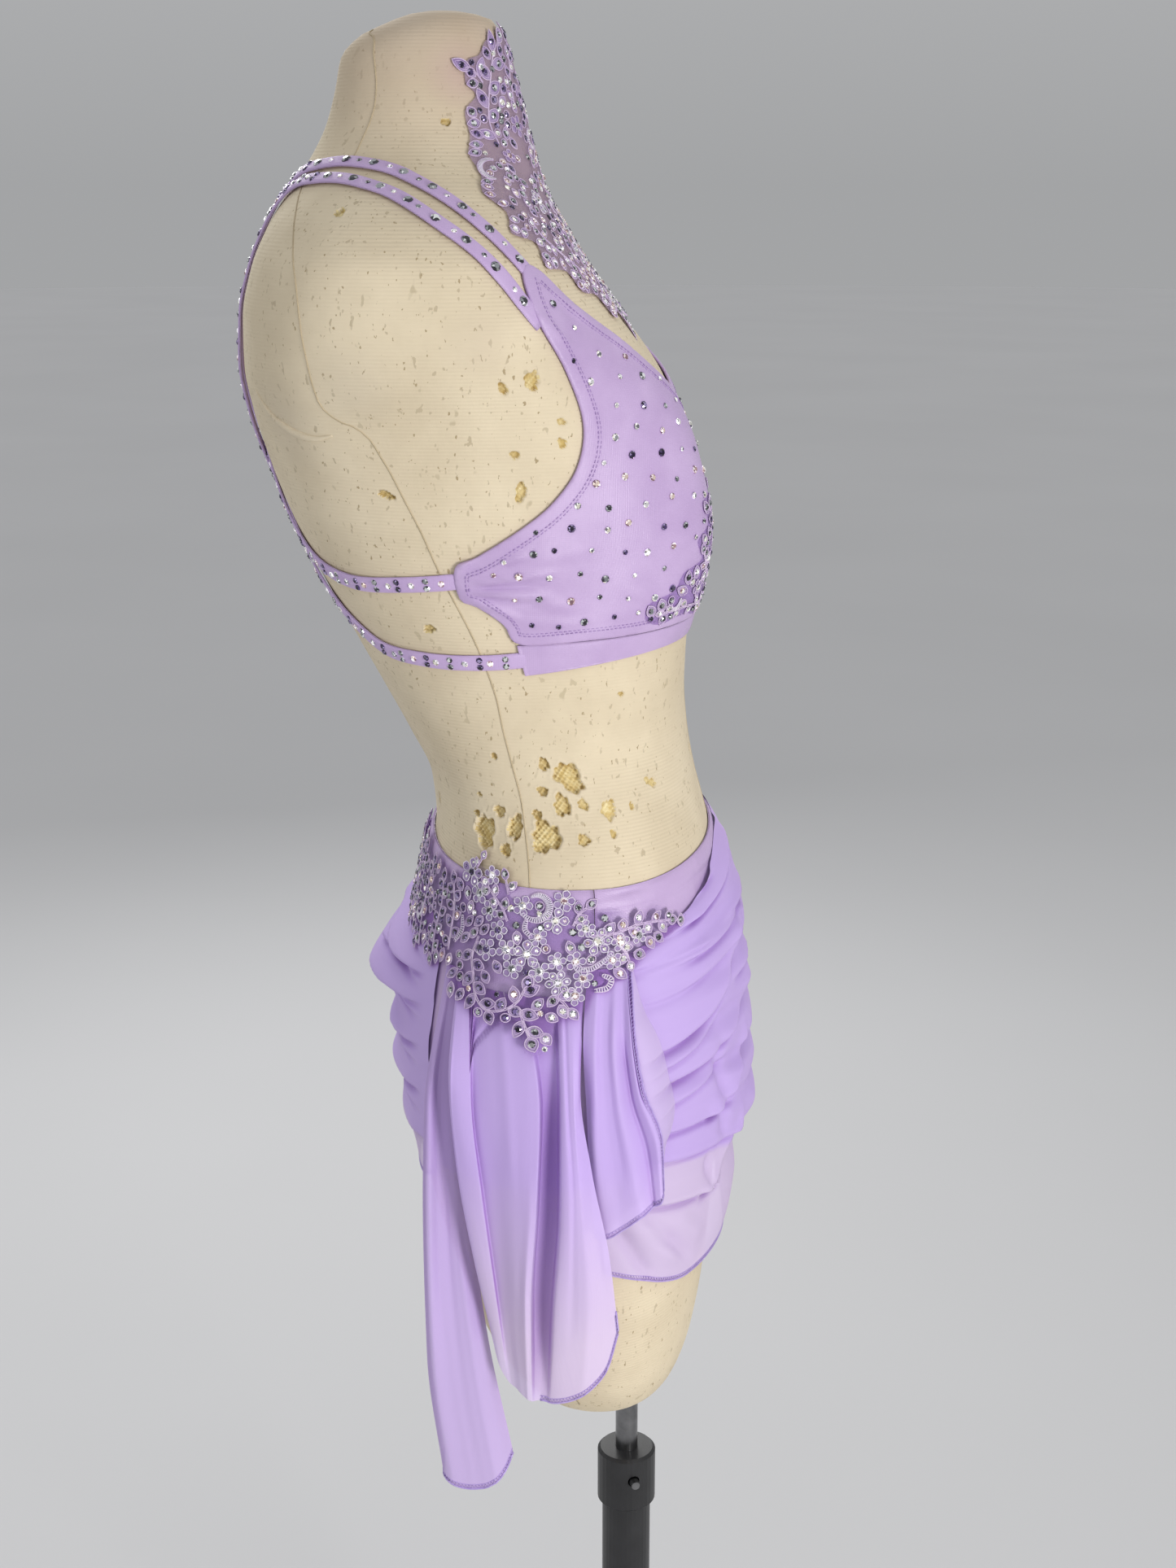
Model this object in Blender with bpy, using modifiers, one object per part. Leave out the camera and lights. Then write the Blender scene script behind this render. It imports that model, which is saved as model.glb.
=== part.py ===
"""Two-piece lyrical dance costume worn on a limbless dress form with its stand.

Metres, +Z up. The origin is on the pole's axis at the underside of the base. The wearer faces -Y, so the
wearer's right side is -X. A place on the body is a turn and a height: the turn runs round the body from
centre front (0 degrees) over the wearer's right side (90) to centre back (180) and the left side (270).
"""

import math

import bmesh
import bpy
import numpy as np
from mathutils import Matrix, Vector
from mathutils.bvhtree import BVHTree
from mathutils.geometry import delaunay_2d_cdt

MM = 0.001

# Stand
BASE_RADIUS = 0.180
BASE_THICK = 0.008
HUB_RADIUS = 0.032
HUB_HEIGHT = 0.030
HUB_FOOT = 0.005
TUBE_RADIUS = 0.0175
TUBE_BORE = 0.0090
TUBE_TOP = 0.485
COLLAR_RADIUS = 0.021
COLLAR_LOW = 0.478
COLLAR_TOP = 0.520
POLE_RADIUS = 0.0080
POLE_FOOT = 0.130
PLUG_HEIGHT = 0.012
SOCKET_DEPTH = 0.060
SOCKET_BELOW = 0.040
SCREW_RADIUS = 0.004
SCREW_DROP = 0.017
SCREW_TIP = 0.0045
SCREW_AIM = (-0.97, -0.24, 0.0)
SEAT_GAP = 0.3 * MM
SLIDE_GAP = 0.08 * MM
BEVEL = 0.003
FINE_BEVEL = 0.001
ROUND = 32
BASE_ROUND = 36
SCREW_ROUND = 20

# Looks: colour, roughness and metallic value
BLACK = ((0.02, 0.02, 0.022), 0.45, 0.0)
STEEL = ((0.5, 0.5, 0.52), 0.35, 1.0)
JERSEY = ((0.72, 0.64, 0.50), 0.9, 0.0)
LILAC_SPANDEX = ((0.52, 0.36, 0.66), 0.5, 0.0)
LILAC_CHIFFON = ((0.58, 0.42, 0.76), 0.7, 0.0)
LILAC_LACE = ((0.55, 0.42, 0.66), 0.6, 0.0)

# Cloth
SPANDEX = 1.2 * MM
CHIFFON = 1.0 * MM
LACE = 1.1 * MM
STRAP_THICK = 1.6 * MM
STRAP_WIDTH = 10.0 * MM
STRAP_STATIONS = 36
BODY_GAP = 0.9 * MM
CUP_GAP = 1.2 * MM
NECK_GAP = 1.4 * MM
LACE_GAP = 1.0 * MM
SEAM_TURN = 0.12

# Cut panels: a degree of turn on the flat pattern, the spacing of a panel's points, and the least triangle
TURN_SCALE = 2.4 * MM
CUP_SPACING = 0.018
NECK_SPACING = 0.022
HIP_SPACING = 0.019
LEAST_AREA = 1e-8

# Leaf-shaped gaps in the lace: the length of one, the distance between rows, and the least edge left
NECK_GAPS = (0.015, 0.0265)
BUST_GAPS = (0.013, 0.0235)
HIP_GAPS = (0.013, 0.0215)
GAP_EDGE = 0.0022
GAP_SIDES = 6

# Dress form: one row for each level section
FORM_COLUMNS = ("height", "front", "back", "half_width", "squareness")
FORM_ROWS = (
    (0.606, -0.012, 0.046, 0.062, 2.1),
    (0.615, -0.026, 0.064, 0.102, 2.2),
    (0.632, -0.039, 0.084, 0.129, 2.3),
    (0.660, -0.047, 0.102, 0.148, 2.3),
    (0.700, -0.053, 0.118, 0.160, 2.3),
    (0.760, -0.058, 0.136, 0.166, 2.3),
    (0.820, -0.061, 0.147, 0.170, 2.3),
    (0.880, -0.062, 0.149, 0.169, 2.3),
    (0.930, -0.061, 0.143, 0.162, 2.3),
    (0.980, -0.056, 0.133, 0.148, 2.2),
    (1.010, -0.049, 0.128, 0.136, 2.2),
    (1.040, -0.041, 0.131, 0.124, 2.2),
    (1.070, -0.036, 0.145, 0.117, 2.2),
    (1.100, -0.034, 0.161, 0.117, 2.2),
    (1.130, -0.034, 0.177, 0.122, 2.2),
    (1.160, -0.033, 0.192, 0.129, 2.3),
    (1.200, -0.030, 0.211, 0.138, 2.3),
    (1.240, -0.023, 0.226, 0.146, 2.3),
    (1.275, -0.013, 0.235, 0.157, 2.4),
    (1.300, -0.004, 0.2385, 0.168, 2.4),
    (1.330, 0.012, 0.2375, 0.1745, 2.4),
    (1.358, 0.030, 0.231, 0.170, 2.4),
    (1.380, 0.043, 0.222, 0.152, 2.3),
    (1.396, 0.052, 0.213, 0.127, 2.2),
    (1.410, 0.058, 0.204, 0.099, 2.1),
    (1.424, 0.062, 0.195, 0.075, 2.0),
    (1.440, 0.066, 0.187, 0.061, 2.0),
    (1.460, 0.071, 0.181, 0.0555, 2.0),
    (1.478, 0.0755, 0.177, 0.0535, 2.0),
    (1.490, 0.079, 0.166, 0.049, 2.0),
    (1.500, 0.086, 0.144, 0.036, 2.0),
)
FORM_TOP = 1.505
FORM_FOOT = 0.600
FORM_SIDES = 40
FORM_CROWDING = 1.4
FORM_EXTRA = (0.995, 1.025, 1.055, 1.085, 1.115, 1.145, 1.403, 1.417, 1.432)
BODY_MIDDLE = 0.045
LEAST_TURN = 1.5
TRUE_TURNS = 180
TRUE_LEVELS = 220

# Bust: one row for each height of the swell over the level sections
BUST_COLUMNS = ("height", "rise", "apart")
BUST_ROWS = (
    (1.085, 0.0000, 0.066),
    (1.130, 0.0050, 0.070),
    (1.166, 0.0180, 0.076),
    (1.200, 0.0265, 0.080),
    (1.225, 0.0285, 0.082),
    (1.255, 0.0265, 0.083),
    (1.285, 0.0200, 0.083),
    (1.314, 0.0110, 0.083),
    (1.345, 0.0040, 0.083),
    (1.380, 0.0000, 0.083),
)
BUST_SPREAD = 0.050


def column(rows, names, name):
    """One named column of a table, as an array."""
    return np.array([row[names.index(name)] for row in rows], float)


def track(at, knots, values):
    """Smooth curve through the knots that never swings past them."""
    at = np.clip(np.asarray(at, float), knots[0], knots[-1])
    step = np.diff(knots)
    slope = np.diff(values) / step
    tangent = np.zeros(len(knots))
    tangent[0] = slope[0]
    tangent[-1] = slope[-1]
    for i in range(1, len(knots) - 1):
        if slope[i - 1] * slope[i] > 0:
            wide = step[i - 1] + 2 * step[i]
            narrow = 2 * step[i - 1] + step[i]
            tangent[i] = (wide + narrow) / (wide / slope[i] + narrow / slope[i - 1])
    i = np.clip(np.searchsorted(knots, at, side="right") - 1, 0, len(knots) - 2)
    h = step[i]
    t = (at - knots[i]) / h
    return (
        (2 * t**3 - 3 * t**2 + 1) * values[i]
        + (t**3 - 2 * t**2 + t) * h * tangent[i]
        + (3 * t**2 - 2 * t**3) * values[i + 1]
        + (t**3 - t**2) * h * tangent[i + 1]
    )


def form_value(height, name):
    """A column of the form's table at any height."""
    knots = column(FORM_ROWS, FORM_COLUMNS, "height")
    return track(height, knots, column(FORM_ROWS, FORM_COLUMNS, name))


def bust_value(height, name):
    """A column of the bust's table at any height."""
    knots = column(BUST_ROWS, BUST_COLUMNS, "height")
    return track(height, knots, column(BUST_ROWS, BUST_COLUMNS, name))


def form_xyz(turn, height):
    """Points of the dress form at turns in degrees and heights in metres."""
    turn, height = np.broadcast_arrays(np.radians(turn), np.asarray(height, float))
    front, back = form_value(height, "front"), form_value(height, "back")
    deep, wide = (back - front) / 2, form_value(height, "half_width")
    power = form_value(height, "squareness")
    s, c = np.sin(turn), np.cos(turn)
    reach = (np.abs(s / wide) ** power + np.abs(c / deep) ** power) ** (-1 / power)
    x = -reach * s
    y = (front + back) / 2 - reach * c
    apart, rise = bust_value(height, "apart"), bust_value(height, "rise")
    swell = sum(np.exp(-(((x - side * apart) / BUST_SPREAD) ** 2)) for side in (-1, 1))
    facing = np.clip(c * 1.6 + 0.2, 0, 1)
    return np.stack([x, y - rise * swell * facing, height], -1)


def form_turns():
    """The turns of the form's columns of points, closer together at the narrow sides."""
    evenly = np.arange(FORM_SIDES) / FORM_SIDES * math.tau
    return np.degrees(np.arctan2(FORM_CROWDING * np.sin(evenly), np.cos(evenly))) % 360.0


def body_columns(start, end):
    """The form's own columns between two turns, with both ends."""
    low, high = min(start, end), max(start, end)
    turn = np.sort(form_turns())
    turn = np.concatenate([turn - 360.0, turn, turn + 360.0])
    between = turn[(turn > low + LEAST_TURN) & (turn < high - LEAST_TURN)]
    made = np.concatenate([[low], between, [high]])
    return made if start < end else made[::-1]


def form_normal(turn, height):
    """Outward unit normals of the dress form."""
    across = form_xyz(np.asarray(turn) + 1.0, height) - form_xyz(np.asarray(turn) - 1.0, height)
    up = form_xyz(turn, np.asarray(height) + 2 * MM) - form_xyz(turn, np.asarray(height) - 2 * MM)
    out = np.cross(up, across)
    return out / np.linalg.norm(out, axis=-1, keepdims=True)


def off_form(turn, height, out):
    """Points that stand off the dress form by a distance."""
    return form_xyz(turn, height) + form_normal(turn, height) * np.asarray(out)[..., None]


def fine_form():
    """Search tree of the dress form's true surface."""
    turn, height = np.meshgrid(
        np.linspace(0, 360, TRUE_TURNS, endpoint=False),
        np.linspace(FORM_ROWS[0][0], FORM_ROWS[-1][0], TRUE_LEVELS),
    )
    points = form_xyz(turn, height).reshape(-1, 3)
    faces = []
    for j in range(TRUE_LEVELS - 1):
        low, high = j * TRUE_TURNS, (j + 1) * TRUE_TURNS
        for i in range(TRUE_TURNS):
            k = (i + 1) % TRUE_TURNS
            faces.append((low + k, low + i, high + i, high + k))
    return BVHTree.FromPolygons([Vector(p) for p in points], faces)


SURFACE = fine_form()


def seat(point, out):
    """The nearest place on the dress form to a point, raised off it, and the outward direction there."""
    place, normal, _, _ = SURFACE.find_nearest(Vector(point))
    return np.array(place + normal * out), np.array(normal)


def collection(name):
    made = bpy.data.collections.new(name)
    bpy.context.scene.collection.children.link(made)
    return made


def material(name, look):
    """A plain material from a colour, a roughness and a metallic value."""
    colour, roughness, metallic = look
    made = bpy.data.materials.new(name)
    made.use_nodes = True
    shader = made.node_tree.nodes["Principled BSDF"]
    shader.inputs["Base Color"].default_value = (*colour, 1.0)
    shader.inputs["Roughness"].default_value = roughness
    shader.inputs["Metallic"].default_value = metallic
    return made


def solid(name, points, faces, look, group):
    """A named object from points and faces, facing outward."""
    mesh = bpy.data.meshes.new(name)
    mesh.from_pydata([tuple(p) for p in points], [], faces)
    bm = bmesh.new()
    bm.from_mesh(mesh)
    bmesh.ops.recalc_face_normals(bm, faces=bm.faces)
    bmesh.ops.triangulate(bm, faces=bm.faces)
    bm.to_mesh(mesh)
    bm.free()
    made = bpy.data.objects.new(name, mesh)
    made.data.materials.append(material(name, look))
    group.objects.link(made)
    return made


def wall(name, inner, outer, look, group):
    """A closed wall between two grids of points (rows down, columns across)."""
    rows, cols = inner.shape[:2]
    points = np.concatenate([inner.reshape(-1, 3), outer.reshape(-1, 3)])
    skin = rows * cols
    faces = []
    for j in range(rows - 1):
        for i in range(cols - 1):
            a = j * cols + i
            faces.append((a, a + 1, a + cols + 1, a + cols))
            faces.append((skin + a, skin + a + cols, skin + a + cols + 1, skin + a + 1))
    rim = list(range(cols))
    rim += [j * cols + cols - 1 for j in range(1, rows)]
    rim += [(rows - 1) * cols + i for i in range(cols - 2, -1, -1)]
    rim += [j * cols for j in range(rows - 2, 0, -1)]
    for a, b in zip(rim, rim[1:] + rim[:1]):
        faces.append((a, a + skin, b + skin, b))
    return solid(name, points, faces, look, group)


def grid_normals(grid):
    """Unit normals of a grid of points, pointing away from the body's axis."""
    across = np.gradient(grid, axis=1)
    down = np.gradient(grid, axis=0)
    out = np.cross(across, down)
    out /= np.linalg.norm(out, axis=-1, keepdims=True)
    return out


def inside(points, loop):
    """Which flat points lie inside a closed loop."""
    x, y = points[:, 0], points[:, 1]
    hit = np.zeros(len(points), bool)
    for (xa, ya), (xb, yb) in zip(loop, np.roll(loop, -1, axis=0)):
        if ya == yb:
            continue
        crosses = (ya > y) != (yb > y)
        hit ^= crosses & (x < (xb - xa) * (y - ya) / (yb - ya) + xa)
    return hit


def loop_gap(points, loop):
    """Distance from flat points to a closed loop."""
    best = np.full(len(points), np.inf)
    for a, b in zip(loop, np.roll(loop, -1, axis=0)):
        along = b - a
        t = np.clip(((points - a) @ along) / (along @ along), 0, 1)
        best = np.minimum(best, np.linalg.norm(points - (a + t[:, None] * along), axis=1))
    return best


def divided(loop, longest):
    """A closed loop with its long sides divided."""
    made = []
    for a, b in zip(loop, np.roll(loop, -1, axis=0)):
        parts = max(1, math.ceil(np.linalg.norm(b - a) / longest))
        made += [a + (b - a) * k / parts for k in range(parts)]
    return np.array(made)


def panel(name, outline, holes, spacing, lift, thick, look, group):
    """A cloth wall cut to an outline given in turns and heights, with holes, that follows the dress form.

    lift and thick are functions of the turn and height, in metres."""
    flat = np.array([TURN_SCALE, 1.0])
    loops = [divided(np.array(outline, float) * flat, spacing)]
    loops += [np.array(hole, float) * flat for hole in holes]
    low, high = loops[0].min(axis=0), loops[0].max(axis=0)
    fill = []
    for j, y in enumerate(np.arange(low[1], high[1], spacing * 0.87)):
        for x in np.arange(low[0] + (j % 2) * spacing / 2, high[0], spacing):
            fill.append((x, y))
    fill = np.array(fill)
    keep = inside(fill, loops[0]) & (loop_gap(fill, loops[0]) > spacing * 0.45)
    for hole in loops[1:]:
        keep &= ~inside(fill, hole) & (loop_gap(fill, hole) > spacing * 0.4)
    fill = fill[keep]
    points = np.concatenate(loops + [fill]) if len(fill) else np.concatenate(loops)
    edges = []
    first = 0
    for loop in loops:
        count = len(loop)
        edges += [(first + k, first + (k + 1) % count) for k in range(count)]
        first += count
    flat_points, _, triangles, _, _, _ = delaunay_2d_cdt([Vector(p) for p in points], edges, [], 0, 1e-7)
    flat_points = np.array([tuple(p) for p in flat_points])
    corners = flat_points[np.array(triangles)]
    middle = corners.mean(axis=1)
    one, two = corners[:, 1] - corners[:, 0], corners[:, 2] - corners[:, 0]
    area = np.abs(one[:, 0] * two[:, 1] - one[:, 1] * two[:, 0]) / 2
    kept = inside(middle, loops[0]) & (area > LEAST_AREA)
    for hole in loops[1:]:
        kept &= ~inside(middle, hole)
    triangles = [tuple(t) for t, k in zip(triangles, kept) if k]
    used = sorted({v for t in triangles for v in t})
    order = {v: k for k, v in enumerate(used)}
    triangles = [tuple(order[v] for v in t) for t in triangles]
    turn, height = flat_points[used, 0] / TURN_SCALE, flat_points[used, 1]
    rise = lift(turn, height)
    inner = off_form(turn, height, rise)
    outer = off_form(turn, height, rise + thick(turn, height))
    count = len(used)
    sides = {(p, q) for a, b, c in triangles for p, q in ((a, b), (b, c), (c, a))}
    faces = list(triangles)
    faces += [(c + count, b + count, a + count) for a, b, c in triangles]
    faces += [(q, p, p + count, q + count) for p, q in sides if (q, p) not in sides]
    return solid(name, np.concatenate([inner, outer]), faces, look, group)


def steady(value):
    """A lift or thickness that is the same everywhere."""
    return lambda turn, height: np.full(np.shape(turn), value)


def smooth_path(rows, count):
    """Evenly spaced points on a smooth curve through the rows."""
    rows = np.array(rows, float)
    steps = np.linalg.norm(np.diff(rows[:, :2] * np.array([TURN_SCALE, 1.0]), axis=0), axis=1)
    at = np.concatenate([[0], np.cumsum(steps)])
    wanted = np.linspace(0, at[-1], count)
    made = []
    for k in range(rows.shape[1]):
        slope = np.gradient(rows[:, k], at)
        i = np.clip(np.searchsorted(at, wanted, side="right") - 1, 0, len(at) - 2)
        h = at[i + 1] - at[i]
        t = (wanted - at[i]) / h
        made.append(
            (2 * t**3 - 3 * t**2 + 1) * rows[i, k]
            + (t**3 - 2 * t**2 + t) * h * slope[i]
            + (3 * t**2 - 2 * t**3) * rows[i + 1, k]
            + (t**3 - t**2) * h * slope[i + 1]
        )
    return np.stack(made, -1)


def strap(name, rows, count, look, group):
    """A flat strap that follows the dress form through rows of turn, height and lift."""
    path = smooth_path(rows, count)
    centre = off_form(path[:, 0], path[:, 1], BODY_GAP + path[:, 2])
    along = np.gradient(centre, axis=0)
    along /= np.linalg.norm(along, axis=1, keepdims=True)
    out = form_normal(path[:, 0], path[:, 1])
    side = np.cross(along, out)
    side /= np.linalg.norm(side, axis=1, keepdims=True)
    inner, outer = [], []
    for k in range(count):
        low, high = [], []
        for edge in (-0.5, 0.5):
            rim, normal = seat(centre[k] + side[k] * edge * STRAP_WIDTH, BODY_GAP + path[k, 2])
            low.append(rim)
            high.append(rim + normal * STRAP_THICK)
        inner.append(low)
        outer.append(high)
    return wall(name, np.array(inner), np.array(outer), look, group)


def turned(name, rows, steps, look, group, closed_loop):
    """A turned solid about the pole's axis from rows of radius and height, outer side first, top down."""
    mesh = bpy.data.meshes.new(name)
    points = [(r, 0.0, z) for r, z in rows]
    edges = [(k, k + 1) for k in range(len(rows) - 1)]
    if closed_loop:
        edges.append((len(rows) - 1, 0))
    mesh.from_pydata(points, edges, [])
    made = bpy.data.objects.new(name, mesh)
    group.objects.link(made)
    turn = made.modifiers.new("turn", "SCREW")
    turn.axis = "Z"
    turn.angle = math.tau
    turn.steps = steps
    turn.render_steps = steps
    turn.use_merge_vertices = True
    turn.merge_threshold = 0.00005
    made.data.materials.append(material(name, look))
    return made


def cutter(name, radius, length, place, aim, group):
    """A round cutter along a direction, centred on a place."""
    mesh = bpy.data.meshes.new(name)
    bm = bmesh.new()
    bmesh.ops.create_cone(bm, cap_ends=True, segments=ROUND, radius1=radius, radius2=radius, depth=length)
    turn = Vector((0, 0, 1)).rotation_difference(Vector(aim)).to_matrix().to_4x4()
    bm.transform(Matrix.Translation(place) @ turn)
    bm.to_mesh(mesh)
    bm.free()
    made = bpy.data.objects.new(name, mesh)
    made.hide_render = True
    made.display_type = "WIRE"
    group.objects.link(made)
    return made


def cut(target, tool):
    taken = target.modifiers.new("cut_" + tool.name, "BOOLEAN")
    taken.operation = "DIFFERENCE"
    taken.solver = "EXACT"
    taken.object = tool


# Bra front: the right half's edge from the centre of the neckline down to the centre of the lower edge
# in (turn, height)
BRA_EDGE = (
    (0.0, 1.262),
    (14.0, 1.267),
    (28.0, 1.282),
    (36.5, 1.298),
    (44.0, 1.317),
    (54.0, 1.338),
    (61.0, 1.358),
    (65.5, 1.359),
    (66.0, 1.334),
    (63.0, 1.305),
    (62.0, 1.276),
    (65.5, 1.250),
    (72.0, 1.230),
    (80.0, 1.215),
    (91.0, 1.199),
    (97.0, 1.192),
    (98.5, 1.173),
    (95.0, 1.168),
    (90.0, 1.157),
    (87.0, 1.1445),
    (70.0, 1.1455),
    (53.0, 1.1470),
    (30.0, 1.1500),
    (0.0, 1.1520),
)
BAND_TURN = 88.0
BAND_COLUMNS = ("turn", "low", "high")
BAND_ROWS = (
    (0.0, 1.1375, 1.1515),
    (30.0, 1.1355, 1.1495),
    (53.0, 1.1325, 1.1465),
    (90.0, 1.1240, 1.1435),
)
BAND_STATIONS = 27

# Straps: a row for each place that a shoulder strap passes, from the cup over the shoulder to the other
# side, in (turn, height, lift, over). lift is off the body in millimetres, and the upper pair adds over.
STRAP_OUTER = (
    (67.9, 1.3420, 0.3, 0.0),
    (70.0, 1.3525, 0.5, 0.0),
    (74.0, 1.3670, 0.8, 0.0),
    (81.0, 1.3830, 0.8, 0.0),
    (90.0, 1.3965, 0.8, 0.0),
    (103.0, 1.4045, 0.8, 0.0),
    (121.0, 1.4070, 0.8, 0.0),
    (143.0, 1.4000, 0.6, 0.0),
    (156.0, 1.3780, 0.3, 0.0),
    (161.0, 1.3400, 0.2, 0.6),
    (166.0, 1.2950, 0.2, 2.0),
    (172.0, 1.2580, 0.2, 2.5),
    (180.0, 1.2260, 0.2, 2.5),
    (190.0, 1.1990, 0.2, 2.5),
    (203.0, 1.1710, 0.2, 0.6),
    (218.0, 1.1470, 0.2, 0.0),
    (226.0, 1.1370, 0.2, 0.0),
    (244.0, 1.1320, 0.2, 0.0),
    (258.0, 1.1320, 0.2, 0.0),
    (271.3, 1.1340, 0.2, 0.0),
)
STRAP_INNER = (
    (65.8, 1.3640, 0.3, 0.0),
    (70.0, 1.3780, 0.6, 0.0),
    (77.0, 1.3940, 0.8, 0.0),
    (90.0, 1.4085, 0.8, 0.0),
    (109.0, 1.4155, 0.8, 0.0),
    (130.0, 1.4150, 0.8, 0.0),
    (150.0, 1.4080, 0.6, 0.0),
    (163.0, 1.3880, 0.3, 0.0),
    (167.0, 1.3500, 0.2, 0.6),
    (172.0, 1.3050, 0.2, 2.2),
    (180.0, 1.2640, 0.2, 2.5),
    (189.0, 1.2330, 0.2, 2.5),
    (200.0, 1.2060, 0.2, 2.2),
    (213.0, 1.1860, 0.2, 0.4),
    (229.0, 1.1780, 0.2, 0.0),
    (248.0, 1.1800, 0.2, 0.0),
    (260.8, 1.1830, 0.2, 0.0),
)

# Fitted skirt under the drape: top and hem at each turn
SKIRT_COLUMNS = ("turn", "top", "hem")
SKIRT_ROWS = (
    (-86.0, 1.001, 0.800),
    (-40.0, 1.001, 0.786),
    (0.0, 1.003, 0.776),
    (40.0, 1.001, 0.786),
    (84.5, 0.996, 0.812),
    (130.0, 0.998, 0.806),
    (180.0, 1.002, 0.796),
    (230.0, 1.001, 0.798),
    (274.0, 1.001, 0.800),
)
SIDE_SEAMS = (84.5, 274.0)
SKIRT_LEVELS = 8

# Front drape: a row for each line that runs from the right hip round the front to the left side
DRAPE_COLUMNS = ("hip", "groin", "front", "side", "hip_out", "front_out", "side_out")
FRONT_TURNS = {"hip": 78.0, "groin": 60.0, "front": 15.0, "side": -89.9}
BACK_TURNS = {"hip": 124.0, "groin": 140.0, "front": 180.0, "side": 269.8}
HIP_HOLD = 0.12
FRONT_REACH = 5.0
REACH_START, REACH_END = 0.806, 0.790
FRONT_DRAPE = (
    (0.957, 0.972, 0.9985, 1.0040, 3.0, 3.0, 3.0),
    (0.953, 0.967, 0.9850, 0.9930, 4.2, 7.5, 3.6),
    (0.948, 0.960, 0.9740, 0.9820, 4.6, 9.5, 5.0),
    (0.944, 0.953, 0.9620, 0.9720, 3.2, 6.5, 3.2),
    (0.939, 0.944, 0.9480, 0.9600, 4.6, 12.5, 5.5),
    (0.932, 0.936, 0.9360, 0.9500, 4.4, 12.5, 5.5),
    (0.926, 0.927, 0.9250, 0.9400, 3.2, 9.0, 3.4),
    (0.917, 0.917, 0.9120, 0.9280, 4.8, 14.5, 6.0),
    (0.908, 0.907, 0.9000, 0.9170, 4.4, 14.5, 5.6),
    (0.901, 0.898, 0.8890, 0.9070, 3.2, 10.5, 3.4),
    (0.892, 0.888, 0.8760, 0.8950, 4.8, 16.0, 6.0),
    (0.884, 0.879, 0.8650, 0.8850, 4.4, 16.0, 5.6),
    (0.877, 0.870, 0.8540, 0.8750, 3.2, 13.0, 3.4),
    (0.868, 0.860, 0.8450, 0.8630, 4.8, 20.0, 6.2),
    (0.859, 0.851, 0.8350, 0.8510, 4.4, 21.0, 5.6),
    (0.851, 0.843, 0.8260, 0.8410, 3.4, 18.5, 3.4),
    (0.842, 0.833, 0.8140, 0.8300, 4.8, 21.5, 6.2),
    (0.833, 0.822, 0.8020, 0.8170, 4.6, 18.5, 5.8),
    (0.823, 0.811, 0.7900, 0.8050, 3.4, 12.5, 3.8),
    (0.807, 0.795, 0.7770, 0.7930, 3.2, 11.0, 3.4),
    (0.792, 0.777, 0.7600, 0.7820, 4.6, 15.0, 4.6),
    (0.776, 0.757, 0.7430, 0.7710, 4.4, 14.0, 4.8),
    (0.758, 0.737, 0.7260, 0.7610, 3.2, 11.0, 4.0),
)

# Back drape: a row for each line that runs from the right hip round the back to the left side
BACK_DRAPE = (
    (0.950, 0.968, 0.9900, 1.0040, 3.0, 3.0, 3.0),
    (0.947, 0.957, 0.9640, 0.9880, 3.2, 3.4, 3.8),
    (0.943, 0.948, 0.9480, 0.9720, 3.4, 3.4, 5.4),
    (0.940, 0.939, 0.9370, 0.9560, 3.6, 4.0, 5.0),
    (0.935, 0.929, 0.9240, 0.9420, 3.8, 12.0, 4.4),
    (0.928, 0.916, 0.9080, 0.9280, 4.0, 21.5, 6.4),
    (0.920, 0.905, 0.8950, 0.9160, 4.0, 23.0, 6.0),
    (0.912, 0.895, 0.8850, 0.9060, 3.2, 12.0, 3.4),
    (0.902, 0.884, 0.8720, 0.8940, 3.2, 6.5, 3.4),
    (0.890, 0.870, 0.8560, 0.8800, 4.2, 9.5, 5.6),
    (0.878, 0.857, 0.8420, 0.8660, 4.2, 9.5, 5.4),
    (0.866, 0.845, 0.8300, 0.8540, 3.2, 5.0, 3.4),
    (0.850, 0.829, 0.8150, 0.8340, 4.2, 7.5, 5.2),
    (0.834, 0.814, 0.8000, 0.8100, 3.8, 7.0, 4.8),
    (0.816, 0.797, 0.7840, 0.7860, 3.2, 4.5, 3.4),
    (0.798, 0.780, 0.7680, 0.7620, 3.8, 6.0, 4.0),
)

# Hip cascades: a row for each fold line. It starts at a turn and height on the body, lifted off it, and
# hangs through four places: back is behind the pole's axis and out is to the wearer's right, in millimetres.
TAIL_COLUMNS = (
    "turn", "lift", "back1", "out1", "back2", "out2", "back3", "out3", "back4", "out4", "top", "hem"
)
LONG_ACROSS, LONG_LEVELS = 15, 10
MIDDLE_ACROSS, MIDDLE_LEVELS = 33, 10
SHORT_ACROSS, SHORT_LEVELS = 13, 7
TAIL_LONG = (
    (121.0, 3.2, 128, 141, 130, 147, 129, 151, 121, 153, 0.943, 0.618),
    (120.0, 3.8, 129, 151, 131, 158, 130, 162, 121, 164, 0.943, 0.609),
    (119.0, 4.0, 125, 157, 126, 165, 124, 170, 114, 171, 0.943, 0.604),
    (118.0, 3.4, 121, 153, 121, 161, 116, 169, 105, 172, 0.943, 0.602),
    (117.2, 3.4, 118, 152, 115, 160, 108, 170, 96, 174, 0.943, 0.603),
    (116.4, 3.4, 114, 152, 110, 160, 101, 170, 88, 174, 0.943, 0.607),
    (115.6, 3.6, 110, 152, 105, 158, 95, 168, 81, 171, 0.943, 0.614),
    (115.0, 3.6, 107, 151, 101, 155, 91, 162, 76, 165, 0.943, 0.624),
)
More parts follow.
